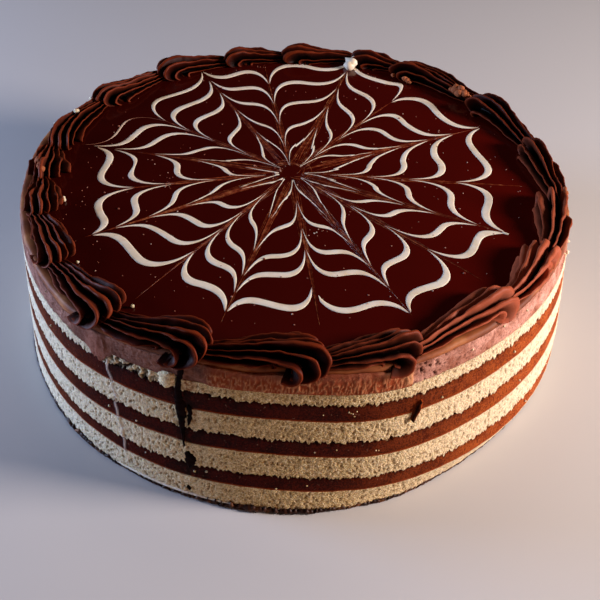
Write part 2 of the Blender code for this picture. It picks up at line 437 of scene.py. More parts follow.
def milk_mousse():
    """Milk chocolate mousse, aerated: matte and pinkish brown, with open bubbles."""
    material, tree, shader, place = new_material(
        "aerated_milk_chocolate_mousse", Roughness=0.72, IOR=1.42, Specular_IOR_Level=0.22,
        Subsurface_Weight=0.08, Subsurface_Radius=(1.0, 0.5, 0.3), Subsurface_Scale=1.2 * MM)
    # The grain of bubbles is drawn 1.0 mm wide, coarser than the real one, so that it shows. It
    # lies over patches of 8 mm
    grain = add_node(tree, NOISE, None, {"Vector": place, "Scale": 1.0 / (1.0 * MM),
                                         "Detail": 4.0, "Roughness": 0.75}).outputs["Fac"]
    patch = add_node(tree, NOISE, None, {"Vector": place, "Scale": 1.0 / (8.0 * MM),
                                         "Detail": 2.0}).outputs["Fac"]
    # A colour in painted shade and one in painted light, mixed across the cake below
    shaded_colour = add_node(tree, RAMP, {"stops": ((0.34, "#4C281C"), (0.64, "#8C5A48"))},
                         {"Fac": patch})
    lit_colour = add_node(tree, RAMP, {"stops": ((0.34, "#A86A54"), (0.64, "#DEA694"))},
                         {"Fac": patch})
    # Painted light: deepest left of the front, in painted shade, paler on the left and palest on
    # the right, where the light falls
    painted_light_across = add_node(tree, RAMP, {"stops": ((0.00, "#B4B4B4"), (0.30, "#303030"),
                                            (0.55, "#606060"), (0.80, "#FFFFFF"))},
                     {"Fac": share_across(tree, place, RADIUS)})
    body = add_node(tree, MIX, COLOUR_MIX, {FACTOR: painted_light_across.outputs["Color"],
                                            FIRST: shaded_colour.outputs["Color"],
                                            SECOND: lit_colour.outputs["Color"]})
    pale = add_node(tree, RAMP, {"stops": ((0.52, "#000000"), (0.78, "#808080"))},
                    {"Fac": grain})
    grained = add_node(tree, MIX, COLOUR_MIX, {FACTOR: pale.outputs["Color"],
                                               FIRST: body.outputs[MIXED],
                                               SECOND: "#D8A898"})
    # Painted shade in the hollows of the grain
    grain_shade = add_node(tree, RAMP, {"stops": ((0.36, "#D0D0D0"), (0.48, "#000000"))},
                    {"Fac": grain})
    colour = add_node(tree, MIX, COLOUR_MIX, {FACTOR: grain_shade.outputs["Color"],
                                              FIRST: grained.outputs[MIXED],
                                              SECOND: "#682F1C"}).outputs[MIXED]
    # Where the lining smeared it, painted highlights on its wrinkles, lip and one patch, and
    # painted shade in the burst bubbles
    for mark, tint in (("lined", "#943F18"), ("fold", "#D09468"), ("pore", "#42180A")):
        share = add_node(tree, MARK, {"attribute_name": mark}).outputs["Fac"]
        colour = add_node(tree, MIX, COLOUR_MIX, {FACTOR: share, FIRST: colour,
                                                  SECOND: tint}).outputs[MIXED]
    tree.links.new(colour, shader.inputs["Base Color"])
    relief = add_node(tree, BUMP, None, {"Height": grain, "Distance": 0.30 * MM,
                                         "Strength": 0.9})
    tree.links.new(relief.outputs["Normal"], shader.inputs["Normal"])
    return material


def poured_glaze():
    """Dark chocolate mirror glaze, poured warm: glassy, near black red, tan at its thin rim."""
    material, tree, shader, place = new_material(
        "poured_dark_chocolate_glaze", Roughness=0.12, IOR=1.46, Specular_IOR_Level=0.32)
    # Painted light: darker on the left and redder on the right, where the light falls, and it
    # varies in patches of about 30 mm
    depth = add_node(tree, RAMP, {"stops": ((0.0, "#260302"), (0.45, "#3C0603"),
                                            (1.0, "#5C0C05"))},
                     {"Fac": share_across(tree, place, 110.0 * MM)})
    patch = add_node(tree, NOISE, None, {"Vector": place, "Scale": 1.0 / (30.0 * MM),
                                         "Detail": 2.0}).outputs["Fac"]
    body = add_node(tree, MIX, COLOUR_MIX, {FACTOR: patch, FIRST: depth.outputs["Color"],
                                            SECOND: "#420804"})
    # At its rim the mousse shows through, more in some stretches of about 14 mm
    tan = add_node(tree, NOISE, None, {"Vector": place, "Scale": 1.0 / (14.0 * MM),
                                       "Detail": 3.0}).outputs["Fac"]
    tans = add_node(tree, RAMP, {"stops": ((0.38, "#743A1C"), (0.52, "#9C582E"),
                                           (0.64, "#BC7A48"))}, {"Fac": tan})
    rim = add_node(tree, MARK, {"attribute_name": "rim"}).outputs["Fac"]
    rimmed = add_node(tree, MIX, COLOUR_MIX, {FACTOR: rim, FIRST: body.outputs[MIXED],
                                              SECOND: tans.outputs["Color"]})
    tree.links.new(rimmed.outputs[MIXED], shader.inputs["Base Color"])
    # It is glassy on top and dull along the thin rim
    dull = add_node(tree, MAP_RANGE, None, {"Value": rim, "To Min": 0.12, "To Max": 0.62})
    tree.links.new(dull.outputs["Result"], shader.inputs["Roughness"])
    # The faint unevenness of a poured sheet, in waves of about 9 mm
    sag = add_node(tree, NOISE, None, {"Vector": place, "Scale": 1.0 / (9.0 * MM),
                                       "Detail": 1.0}).outputs["Fac"]
    relief = add_node(tree, BUMP, None, {"Height": sag, "Distance": 0.10 * MM,
                                         "Strength": 0.3})
    tree.links.new(relief.outputs["Normal"], shader.inputs["Normal"])
    return material


def piped_ganache():
    """Whipped dark ganache, piped through a star nozzle: firm, satin, finely dragged."""
    material, tree, shader, place = new_material(
        "piped_dark_ganache", Roughness=0.46, IOR=1.46, Specular_IOR_Level=0.08)
    # The paste varies in patches of about 7 mm
    patch = add_node(tree, NOISE, None, {"Vector": place, "Scale": 1.0 / (7.0 * MM),
                                         "Detail": 3.0}).outputs["Fac"]
    body = add_node(tree, RAMP, {"stops": ((0.30, "#360D06"), (0.70, "#54190A"))},
                    {"Fac": patch})
    # Painted light turns the shells on the right paler, and painted shade darkens the grooves
    # between the ribs
    bloom = add_node(tree, MARK, {"attribute_name": "bloom"}).outputs["Fac"]
    lit_body = add_node(tree, MIX, COLOUR_MIX, {FACTOR: bloom, FIRST: body.outputs["Color"],
                                               SECOND: "#C0694C"})
    crest = add_node(tree, MARK, {"attribute_name": "crest"}).outputs["Fac"]
    groove_shaded = add_node(tree, MIX, COLOUR_MIX, {FACTOR: crest, FIRST: "#0C0201",
                                            SECOND: lit_body.outputs[MIXED]})
    # A painted highlight along the very edge of each rib
    crest_highlight = add_node(tree, RAMP, {"stops": ((0.72, "#000000"), (1.00, "#C8C8C8"))},
                        {"Fac": crest})
    crest_lit = add_node(tree, MIX, COLOUR_MIX, {FACTOR: crest_highlight.outputs["Color"],
                                             FIRST: groove_shaded.outputs[MIXED],
                                             SECOND: "#8E3A1C"})
    tree.links.new(crest_lit.outputs[MIXED], shader.inputs["Base Color"])
    # The nozzle's fine drag is drawn 0.6 mm wide, coarser than the real one, so that it shows
    grain = add_node(tree, NOISE, None, {"Vector": place, "Scale": 1.0 / (0.6 * MM),
                                         "Detail": 3.0}).outputs["Fac"]
    relief = add_node(tree, BUMP, None, {"Height": grain, "Distance": 0.10 * MM,
                                         "Strength": 0.5})
    tree.links.new(relief.outputs["Normal"], shader.inputs["Normal"])
    return material


def cream_line():
    """White chocolate piped and feathered into wet glaze: ivory, smooth and satin."""
    material, tree, shader, place = new_material(
        "feathered_white_chocolate", Roughness=0.38, IOR=1.46, Specular_IOR_Level=0.30,
        Subsurface_Weight=0.10, Subsurface_Radius=(1.0, 0.8, 0.5), Subsurface_Scale=0.6 * MM)
    patch = add_node(tree, NOISE, None, {"Vector": place, "Scale": 1.0 / (5.0 * MM),
                                         "Detail": 2.0}).outputs["Fac"]
    body = add_node(tree, RAMP, {"stops": ((0.30, "#F4E0C2"), (0.60, "#FFF3DE"))},
                    {"Fac": patch})
    # Where it is drawn out thin, the glaze under it shows through
    thin = add_node(tree, MARK, {"attribute_name": "thin"}).outputs["Fac"]
    faded = add_node(tree, MIX, COLOUR_MIX, {FACTOR: thin, FIRST: body.outputs["Color"],
                                             SECOND: "#A8705A"})
    tree.links.new(faded.outputs[MIXED], shader.inputs["Base Color"])
    relief = add_node(tree, BUMP, None, {"Height": patch, "Distance": 0.05 * MM,
                                         "Strength": 0.3})
    tree.links.new(relief.outputs["Normal"], shader.inputs["Normal"])
    return material


def dragged_streak():
    """White chocolate dragged thin through the glaze: warm brown hairlines with its gloss."""
    material, tree, shader, place = new_material(
        "dragged_chocolate_streak", Roughness=0.25, IOR=1.46, Specular_IOR_Level=0.30)
    patch = add_node(tree, NOISE, None, {"Vector": place, "Scale": 1.0 / (2.5 * MM),
                                         "Detail": 3.0}).outputs["Fac"]
    body = add_node(tree, RAMP, {"stops": ((0.34, "#5A1A0C"), (0.52, "#84381E"),
                                           (0.70, "#A8663F"))}, {"Fac": patch})
    tree.links.new(body.outputs["Color"], shader.inputs["Base Color"])
    return material


def air_bubble():
    """Bubbles and crumbs caught in the set glaze: tiny, tan, with the glaze's gloss."""
    material, tree, shader, place = new_material(
        "glazed_air_bubble", Roughness=0.25, IOR=1.46, Specular_IOR_Level=0.5)
    patch = add_node(tree, NOISE, None, {"Vector": place, "Scale": 1.0 / (3.0 * MM),
                                         "Detail": 1.0}).outputs["Fac"]
    body = add_node(tree, RAMP, {"stops": ((0.35, "#7A2E1C"), (0.60, "#B07862"),
                                           (0.75, "#E0C8B8"))}, {"Fac": patch})
    tree.links.new(body.outputs["Color"], shader.inputs["Base Color"])
    return material


def dripped_glaze():
    """Dark chocolate glaze that ran down the side and set: thick, satin, almost black."""
    material, tree, shader, place = new_material(
        "dripped_dark_glaze", Roughness=0.35, IOR=1.46, Specular_IOR_Level=0.02)
    patch = add_node(tree, NOISE, None, {"Vector": place, "Scale": 1.0 / (3.0 * MM),
                                         "Detail": 2.0}).outputs["Fac"]
    body = add_node(tree, RAMP, {"stops": ((0.35, "#060101"), (0.65, "#160302"))},
                    {"Fac": patch})
    tree.links.new(body.outputs["Color"], shader.inputs["Base Color"])
    return material


def base_chocolate():
    """Dark chocolate set in a thin sheet: satin, paler and darker in patches."""
    material, tree, shader, place = new_material(
        "set_base_chocolate", Roughness=0.45, IOR=1.46, Specular_IOR_Level=0.25)
    patch = add_node(tree, NOISE, None, {"Vector": place, "Scale": 1.0 / (4.0 * MM),
                                         "Detail": 4.0}).outputs["Fac"]
    body = add_node(tree, RAMP, {"stops": ((0.35, "#220C05"), (0.58, "#40200F"),
                                           (0.72, "#80502C"))}, {"Fac": patch})
    tree.links.new(body.outputs["Color"], shader.inputs["Base Color"])
    relief = add_node(tree, BUMP, None, {"Height": patch, "Distance": 0.15 * MM,
                                         "Strength": 0.4})
    tree.links.new(relief.outputs["Normal"], shader.inputs["Normal"])
    return material


SPONGE = sponge_crumb()
DARK_MOUSSE = dark_mousse()
MILK_MOUSSE = milk_mousse()
GLAZE = poured_glaze()
GANACHE = piped_ganache()
CREAM = cream_line()
STREAK = dragged_streak()
BUBBLE = air_bubble()
DRIPPED = dripped_glaze()
FOOT = base_chocolate()


# The lines where one round meets the next

# Waves of every line: height and length in mm, and noise seed
LINE_WAVES = ((0.30, 34.0, 1.0), (0.12, 6.0, 2.0))
# Where the lines stray from level: line, direction, width, and how far up
STRAYS = (
    (1, -98.0, 11.0, 0.8 * MM),
    (4, -115.0, 7.0, 0.3 * MM),
    (7, -118.0, 16.0, 0.9 * MM),
    (8, -125.9, 1.9, -5.6 * MM),
    (8, -131.0, 3.0, -1.8 * MM),
    (9, -134.0, 12.0, -1.6 * MM),
    (9, -96.0, 4.0, -0.8 * MM),
    (9, -50.0, 9.0, -0.5 * MM),
)
# The line under the top mousse is torn beside the crease
RAGGED_LINE = 8
RAGGED_PLACE = (-130.0, 16.0)
RAGGED_TOOTH = 1.6 * MM
RAGGED_DEPTH = 1.1 * MM
# The fringe is made of lobes with finer teeth, and hangs lower in some places
FRINGE_TOOTH = 1.9 * MM
FRINGE_DEPTH = 2.5 * MM
FINE_TOOTH = 0.66 * MM
FINE_DEPTH = 1.2 * MM
FRINGE_SWAY = 4.0 * MM
SWAY_DEPTH = 0.35 * MM
THINNEST_ROUND = 0.5 * MM
LEAST_ROWS = 4


def circle_points(level):
    """Points round the side at a level, for noise that has no seam."""
    turn = np.radians(COLUMN_ANGLES)
    return np.stack([RADIUS * np.cos(turn), RADIUS * np.sin(turn),
                     np.full(COLUMNS, level)], axis=-1)


def meeting_line(number, level, fringed):
    """Heights of the line round the cake where two rounds meet. The underside of a sponge
    hangs down in a fringe of crumb, and its top is a smooth pressed line."""
    points = circle_points(level)
    heights = np.full(COLUMNS, level)
    for rise, length, seed in LINE_WAVES:
        heights += rise * MM * lumps(points, length * MM, 2, seed)
    for line, place, width, rise in STRAYS:
        if line == number:
            heights += rise * near_angle(COLUMN_ANGLES, place, width)
    if number == RAGGED_LINE:
        torn = near_angle(COLUMN_ANGLES, *RAGGED_PLACE)
        heights += RAGGED_DEPTH * lumps(points, RAGGED_TOOTH, 2, 6.5) * torn
    if fringed:
        lobes = np.abs(lumps(points, FRINGE_TOOTH, 1, 3.0)) ** 0.8
        heights += FRINGE_DEPTH * (0.30 - lobes) + FINE_DEPTH * lumps(points, FINE_TOOTH, 1, 4.0)
        heights += SWAY_DEPTH * lumps(points, FRINGE_SWAY, 1, 5.0)
    return heights


LINES = [np.zeros(COLUMNS)]
for number, (below, above) in enumerate(zip(ROUNDS, ROUNDS[1:]), start=1):
    line = meeting_line(number, below[2], above[1] == "sponge")
    LINES.append(np.maximum(line, LINES[-1] + THINNEST_ROUND))


def grid_between(low, high, row):
    """Heights from one line up to the next, row by row, with the share of the way up."""
    rows = max(LEAST_ROWS, int(round(float(np.mean(high - low)) / row))) + 1
    share = np.linspace(0.0, 1.0, rows)[:, None] * np.ones(COLUMNS)[None, :]
    return low[None, :] + (high - low)[None, :] * share, share


def side_points(heights):
    """Points on the smooth side at each column's heights."""
    return on_cake(COLUMN_ANGLES[None, :], side_radius(COLUMN_ANGLES[None, :], heights), heights)


# The lining's overlap: a raised crease that leans as it goes down the side, as direction and
# height of its two ends, and wanders a little: how far, over what length in mm, and phase
CREASE_TOP = (-124.3, 62.0 * MM)
CREASE_FOOT = (-121.4, 12.0 * MM)
CREASE_WANDERS = ((0.22, 3.1, 0.0), (0.15, 1.3, 1.0))
CREASE_STEP = 0.30 * MM
CREASE_STEP_WIDTH = 3.0
CREASE_RIDGE = 0.22 * MM
CREASE_RIDGE_WIDTH = 0.30
# Width of the painted highlight along the crease's ridge, in degrees
CREASE_HIGHLIGHT_WIDTH = 0.15


def past_crease(heights):
    """How far each column is past the crease at its heights, in degrees."""
    share = np.clip((CREASE_TOP[1] - heights) / (CREASE_TOP[1] - CREASE_FOOT[1]), -0.1, 1.1)
    wander = sum(size * np.sin(heights / (length * MM) + phase)
                 for size, length, phase in CREASE_WANDERS)
    crease = between(CREASE_TOP[0], CREASE_FOOT[0], share) + wander
    return turn_between(COLUMN_ANGLES[None, :], crease)


def crease_relief(heights):
    """A ridge along the crease, and a step in the side that fades out past it."""
    past = past_crease(heights)
    step = np.where(past > 0.0, -np.exp(-past / CREASE_STEP_WIDTH), 0.0) * CREASE_STEP
    ridge = CREASE_RIDGE * np.exp(-(past / CREASE_RIDGE_WIDTH) ** 2)
    return (step + ridge) * eased(8.0 * MM, 14.0 * MM, heights)


def crease_mark(heights):
    """1 along the crease's thin raised ridge, where a highlight is painted."""
    thread = np.exp(-(past_crease(heights) / CREASE_HIGHLIGHT_WIDTH) ** 2)
    return thread * eased(10.0 * MM, 15.0 * MM, heights)


# The lips go this far in, out of sight between the rounds
LIP_DEPTH = 2.5 * MM


def side_rings(heights, relief):
    """Rings of points on the side, with a lip turned in under the first and over the last."""
    radius = side_radius(COLUMN_ANGLES[None, :], heights) + relief + crease_relief(heights)
    rings = on_cake(COLUMN_ANGLES[None, :], radius, heights)
    under = on_cake(COLUMN_ANGLES, radius[0] - LIP_DEPTH, heights[0])
    over = on_cake(COLUMN_ANGLES, radius[-1] - LIP_DEPTH, heights[-1])
    return np.concatenate([under[None], rings, over[None]])


def padded(**marks):
    """Marks at the points of a side, with a row added at each end for the turned-in lips."""
    return {mark: np.concatenate([values[:1], values, values[-1:]])
            for mark, values in marks.items()}


# Sponge: large pores, taller than wide, and small ones, in a crumb that stands out between them
PORE = 1.5 * MM
PORE_DEPTH = 0.36 * MM
PORE_STRETCH = np.array([1.0, 1.0, 0.6])
SMALL_PORE = 0.85 * MM
SMALL_PORE_DEPTH = 0.14 * MM
CRUMB_STAND = 0.12 * MM
CRUMB_GRAIN = 2.4 * MM
CRUMB_GRAIN_HEIGHT = 0.18 * MM
# How much painted shade a pore gets
PORE_SHADE = 0.62
SMALL_PORE_SHADE = 0.30
# Where the top sponge lies bare and torn, between the crease and the drip
TORN_SPONGE = "sponge_4"
TORN_PLACE = -119.6
TORN_WIDTH = 4.2
TORN_HEIGHT = 0.9 * MM
RIP_DEPTH = 1.0 * MM
# Where the drip ran, it stained the rounds beside it
DRIP_PLACE = -108.6


def make_sponge(name, low, high, seed):
    """A cut round of sponge: pores, a top edge pressed smooth, and stains of chocolate."""
    heights, share = grid_between(low, high, CRUMB_ROW)
    points = side_points(heights)
    # Pores are wider in some patches than in others
    widest = 0.43 + 0.12 * lumps(points, 5.0 * MM, 1, seed)
    large = pores(points * PORE_STRETCH, PORE, seed, 0.16, widest)
    small = pores(points, SMALL_PORE, seed + 1.0, 0.20, 0.50)
    relief = CRUMB_STAND + CRUMB_GRAIN_HEIGHT * lumps(points, CRUMB_GRAIN, 2, seed + 2.0)
    relief -= PORE_DEPTH * large + SMALL_PORE_DEPTH * small
    pressed = eased(0.90, 1.0, share)
    relief += pressed * (CRUMB_STAND - 0.5 * relief)
    # Painted shade in the pores, less where the top edge is pressed smooth
    pore = np.clip(PORE_SHADE * large + SMALL_PORE_SHADE * small, 0.0, 1.0)
    pore = pore * (1.0 - 0.6 * pressed)
    ripped = np.zeros(heights.shape)
    if name == TORN_SPONGE:
        torn = near_angle(COLUMN_ANGLES, TORN_PLACE, TORN_WIDTH) ** 0.5
        ripped = torn * patches(points, 2.0 * MM, 2, 6.0, -0.10, 0.16)
        relief += torn * TORN_HEIGHT * lumps(points, 2.2 * MM, 2, seed + 3.0)
        relief -= RIP_DEPTH * ripped
    # Wet mousse soaked into the underside in patches and along the top, and the drip ran over
    soaked = 0.55 * eased(0.90, 1.0, 1.0 - share) * patches(points, 3.0 * MM, 2, 8.0, 0.0, 0.5)
    soaked += 0.30 * eased(0.965, 1.0, share)
    smudge = near_angle(COLUMN_ANGLES, DRIP_PLACE + 1.0, 1.3)
    smudge = smudge * eased(38.0 * MM, 44.0 * MM, heights)
    smudge = smudge * patches(points, 1.6 * MM, 2, 14.0, -0.3, 0.3)
    piece = make_round(name + "_crumb", side_rings(heights, relief), SPONGE,
                       padded(pore=pore, stain=np.clip(soaked + smudge, 0.0, 1.0), torn=ripped,
                              thread=crease_mark(heights)))
    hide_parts(name)


# Dark mousse: soft swells and a fine unevenness, a little inside the side, and deep gaps
MOUSSE_SET_BACK = -0.05 * MM
MOUSSE_SWELL = 9.0 * MM
MOUSSE_SWELL_HEIGHT = 0.16 * MM
MOUSSE_GRAIN = 1.6 * MM
MOUSSE_GRAIN_HEIGHT = 0.07 * MM
FRINGE_GAP_DEPTH = 0.8 * MM
TOP_EDGE_DEPTH = 0.25 * MM
# The fringe's lobes are judged against the mean of this many columns
LOBE_COLUMNS = 13


def make_mousse(name, low, high, seed):
    """A round of dark mousse, with open gaps where it runs up between the fringe's lobes."""
    heights, share = grid_between(low, high, MOUSSE_ROW)
    points = side_points(heights)
    relief = MOUSSE_SET_BACK + MOUSSE_SWELL_HEIGHT * lumps(points, MOUSSE_SWELL, 2, seed)
    relief += MOUSSE_GRAIN_HEIGHT * lumps(points, MOUSSE_GRAIN, 2, seed + 1.0)
    half = LOBE_COLUMNS // 2
    smooth = sum(np.roll(high, shift) for shift in range(-half, half + 1)) / LOBE_COLUMNS
    notch = eased(0.05 * MM, 0.50 * MM, high - smooth)[None, :]
    ragged = 0.80 + 0.16 * lumps(points, 1.1 * MM, 2, seed + 2.0)
    gaps = eased(ragged, ragged + 0.10, share) * notch
    relief -= FRINGE_GAP_DEPTH * gaps + TOP_EDGE_DEPTH * eased(0.9, 1.0, share)
    # Painted shade in the gaps and towards the top, under the next sponge's fringe
    shade = np.clip(0.95 * gaps + 0.25 * eased(0.6, 1.0, share), 0.0, 1.0)
    # The drip smeared it dark beside its path
    smudge = near_angle(COLUMN_ANGLES, DRIP_PLACE + 0.8, 3.0)[None, :]
    smudge = smudge * patches(points, 2.6 * MM, 2, 15.0, -0.5, 0.2)
    shade = np.maximum(shade, 0.85 * smudge)
    # A painted highlight along the lowest edge, where it is not shaded
    edge = 0.9 * (1.0 - eased(0.0, 0.10, share)) * (1.0 - shade)
    piece = make_round(name + "_set", side_rings(heights, relief), DARK_MOUSSE,
                       padded(pore=shade, edge=edge, thread=crease_mark(heights)))
    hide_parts(name)


# The top mousse is smeared smooth and wrinkled by the lining between two directions, each
# with its soft width on both sides, and it is open elsewhere
LINED_FROM = (-104.0, 1.5)
LINED_TO = (-67.8, 0.25)
LINED_HEIGHT = 0.85 * MM
# The wrinkles are upright threads
WRINKLE_WIDTH = 0.9 * MM
WRINKLE_LENGTH = 3.4 * MM
WRINKLE_HEIGHT = 0.42 * MM
# The lining's edge left a lip, and it smeared one lobe beside the crease
LIP_PLACE = (-68.7, 0.9)
LIP_HEIGHT = 0.60 * MM
# Where a highlight is painted on the lining, near its lip
HIGHLIGHT_PLACE = (-71.2, 1.6)
LOBE_SMEAR = (-126.2, 3.0)
LOBE_HEIGHT = 0.9 * MM
# Burst bubbles: large pits in patches, smaller ones in a cluster, and dots, each with its depth
# and its painted shade
PIT = 2.3 * MM
PIT_PLACE = (-66.0, 9.0)
CLUSTER_PIT = 1.7 * MM
CLUSTER_PLACE = (-64.8, 3.0)
PIT_DEPTH = 0.85 * MM
PIT_SHADE = 0.95
DOT = 1.2 * MM
DOT_DEPTH = 0.20 * MM
DOT_SHADE = 0.62
TOP_RAG_DEPTH = 0.5 * MM


def wrinkles(points, share):
    """1 along the threads that the lining pulled up, weaker towards the top."""
    threads = np.abs(lumps(stretched(points, WRINKLE_WIDTH, WRINKLE_LENGTH), 1.0, 1, 6.0))
    ridge = np.clip(1.0 - threads * 4.0, 0.0, 1.0) ** 1.5
    return ridge * (1.0 - 0.75 * eased(0.45, 0.95, share)) * eased(0.0, 0.08, share)


def burst_bubbles(points, angles):
    """Pits in patches, most of them near the place where the lining ended, and the cluster."""
    pits = pores(points, PIT, 5.0, 0.12, 0.36) * patches(points, 7.0 * MM, 1, 7.0, 0.10, 0.30)
    pits = pits * eased(0.3, 1.0, near_angle(angles, *PIT_PLACE) + 0.3)
    cluster = pores(points, CLUSTER_PIT, 5.5, 0.20, 0.46)
    return np.maximum(pits, cluster * eased(0.2, 0.8, near_angle(angles, *CLUSTER_PLACE)))


def make_milk_mousse(name, low, high):
    """The top round: smeared and wrinkled in front, and open with burst bubbles elsewhere."""
    heights, share = grid_between(low, high, CRUMB_ROW)
    points = side_points(heights)
    angles = np.broadcast_to(COLUMN_ANGLES[None, :], heights.shape)
    (start, start_width), (end, end_width) = LINED_FROM, LINED_TO
    lined = eased(start - start_width, start + start_width, angles)
    lined = lined * (1.0 - eased(end - end_width, end + end_width, angles))
    lobe = near_angle(angles, *LOBE_SMEAR) * (1.0 - 0.5 * share)
    open_crumb = (1.0 - lined) * (1.0 - 0.8 * lobe)
    ridge = wrinkles(points, share)
    pits = burst_bubbles(points, angles) * open_crumb
    dots = pores(points, DOT, 8.0, 0.15, 0.50) * patches(points, 3.0 * MM, 1, 9.5, -0.5, 0.2)
    dots = dots * open_crumb
    lip = near_angle(angles, *LIP_PLACE) * eased(0.0, 0.3, share)
    ragged = eased(0.86, 1.0, share) * patches(points, 3.4 * MM, 2, 10.0, 0.0, 0.5)
    relief = 0.14 * MM * lumps(points, 6.0 * MM, 2, 9.0)
    relief += 0.20 * MM * lumps(points, 1.8 * MM, 2, 9.2)
    relief += lined * (LINED_HEIGHT + WRINKLE_HEIGHT * ridge)
    relief += LIP_HEIGHT * lip + LOBE_HEIGHT * lobe
    relief -= PIT_DEPTH * pits + DOT_DEPTH * dots + TOP_RAG_DEPTH * ragged * open_crumb
    # Painted highlights on the wrinkles, the lip and one patch of the lining
    highlit = near_angle(angles, *HIGHLIGHT_PLACE) * eased(0.5, 0.9, share)
    # Painted shade in the burst bubbles
    pore = np.clip(PIT_SHADE * pits + DOT_SHADE * dots, 0.0, 1.0)
    fold = np.clip(lined * ridge * 0.9 + lip * 0.9 + 0.6 * highlit, 0.0, 1.0)
    smear = lined * (0.95 - 0.30 * eased(0.45, 0.95, share)) + 0.35 * lobe
    piece = make_round(name + "_set", side_rings(heights, relief), MILK_MOUSSE,
                       padded(pore=pore, fold=fold, lined=np.clip(smear, 0.0, 1.0)))
    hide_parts(name)


# The glaze: its rim waves, is rounded over, and is tan where it thins out
GLAZE_WAVE = 11.0 * MM
GLAZE_WAVE_HEIGHT = 0.40 * MM
GLAZE_LIP = 1.5 * MM
GLAZE_LIP_TURNS = (0.0, 22.0, 45.0, 68.0, 90.0)
# The top's rings, in mm in from the rim
GLAZE_RINGS = (3.0, 5.0, 7.0, 10.0, 14.0, 20.0, 28.0, 38.0, 50.0, 64.0, 80.0, 97.0, 110.0)
RIM_TAN = 0.95


def make_glaze(low):
    """The poured glaze: a level top with a soft rounded rim that thins out over the mousse."""
    points = circle_points(GLAZE_TOP)
    rim = side_radius(COLUMN_ANGLES, GLAZE_TOP)
    rim = rim + GLAZE_WAVE_HEIGHT * lumps(points, GLAZE_WAVE, 2, 11.0)
    rings = [on_cake(COLUMN_ANGLES, rim - LIP_DEPTH, low)]
    for turn in np.radians(GLAZE_LIP_TURNS):
        radius = rim - GLAZE_LIP * (1.0 - math.cos(turn))
        rings.append(on_cake(COLUMN_ANGLES, radius, low + (GLAZE_TOP - low) * math.sin(turn)))
    marks = [np.full(COLUMNS, RIM_TAN)] * len(rings)
    for inward in GLAZE_RINGS:
        rings.append(on_cake(COLUMN_ANGLES, rim - inward * MM, np.full(COLUMNS, GLAZE_TOP)))
        marks.append(np.full(COLUMNS, RIM_TAN * float(1.0 - eased(1.5, 4.5, inward))))
    piece = make_round("poured_glaze", np.stack(rings), GLAZE, {"rim": np.stack(marks)})
    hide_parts("glaze")


# The foot: how its edge is rounded and undercut, and where most of it was squeezed out, in lumps
FOOT_EDGE = 1.1 * MM
FOOT_UNDERCUT = 1.2 * MM
FOOT_MIDDLE = 0.45
FOOT_LUMPS = (-97.0, 13.0)
FOOT_TURNS = (-60.0, -25.0, 5.0, 35.0, 65.0, 90.0)
FOOT_LUMP = 3.2 * MM
FOOT_ROUGHNESS = 1.7 * MM
FOOT_INNER_EDGE = 4.5 * MM
LEAST_HEIGHT = 0.05 * MM


def make_foot(high):
    """The set chocolate under the sponge, squeezed out unevenly past the side."""
    points = circle_points(0.0)
    squeezed = near_angle(COLUMN_ANGLES, *FOOT_LUMPS)
    reach = side_radius(COLUMN_ANGLES, np.zeros(COLUMNS))
    reach = reach + foot_spread(COLUMN_ANGLES) * between(0.35, 0.9, squeezed)
    reach = reach + between(0.25, 0.9, squeezed) * MM * lumps(points, FOOT_LUMP, 3, 12.0)
    middle = high * FOOT_MIDDLE
    rings = [on_cake(COLUMN_ANGLES, reach - FOOT_UNDERCUT, np.zeros(COLUMNS))]
    for number, turn in enumerate(np.radians(FOOT_TURNS)):
        rise = (high - middle if turn > 0.0 else middle) * math.sin(turn)
        rough = lumps(points + number * 2.0 * MM, FOOT_ROUGHNESS, 2, 13.0)
        rough = between(0.15, 0.5, squeezed) * MM * rough
        radius = reach - FOOT_EDGE * (1.0 - math.cos(turn)) + rough
        rings.append(on_cake(COLUMN_ANGLES, radius, np.maximum(middle + rise, LEAST_HEIGHT)))
    rings.append(on_cake(COLUMN_ANGLES, reach - FOOT_INNER_EDGE, high))
    piece = make_round("base_chocolate_foot", np.stack(rings), FOOT, {})
    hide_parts("foot")


for place, (low, high) in enumerate(zip(LINES, LINES[1:])):
    name, kind = ROUNDS[place][:2]
    if kind == "sponge":
        make_sponge(name, low, high, float(place))
    elif kind == "mousse":
        make_mousse(name, low, high, float(place))
    elif kind == "milk_mousse":
        make_milk_mousse(name, low, high)
make_glaze(LINES[-1])
make_foot(LINES[1])


# What lies on the side: a drip of glaze, a lump of crumb, a flake and a pale smear. Each is a
# path down or along the side, with its height in mm, its direction, and its width in mm

DRIP = ((70.5, -108.6, 3.0), (66.0, -108.8, 2.4), (61.0, -109.2, 2.3), (56.4, -109.5, 2.5),
        (52.0, -109.4, 3.4), (48.9, -109.2, 4.6), (45.5, -109.1, 4.3), (41.1, -109.1, 3.0),
        (37.5, -109.0, 2.2), (34.0, -108.9, 1.4), (31.0, -108.9, 0.9), (28.0, -108.8, 0.5))
DRIP_BRANCH = ((50.0, -107.6, 0.6), (48.6, -107.5, 2.4), (45.5, -107.4, 1.8), (42.5, -107.5, 2.2),
               (39.6, -107.8, 0.7))
DRIP_BLOTCH = ((25.4, -108.3, 0.8), (23.6, -107.9, 3.8), (21.2, -107.7, 5.2),
               (18.8, -107.8, 3.8), (17.0, -107.9, 1.0))
DRIP_SPOT = ((6.8, -108.3, 0.6), (5.6, -108.2, 2.6), (4.4, -108.1, 0.6))
CRUMB_LUMP = ((64.0, -111.3, 3.0), (63.0, -111.4, 6.6), (60.6, -111.5, 7.4),
              (58.2, -111.6, 6.4), (57.2, -111.6, 3.0))
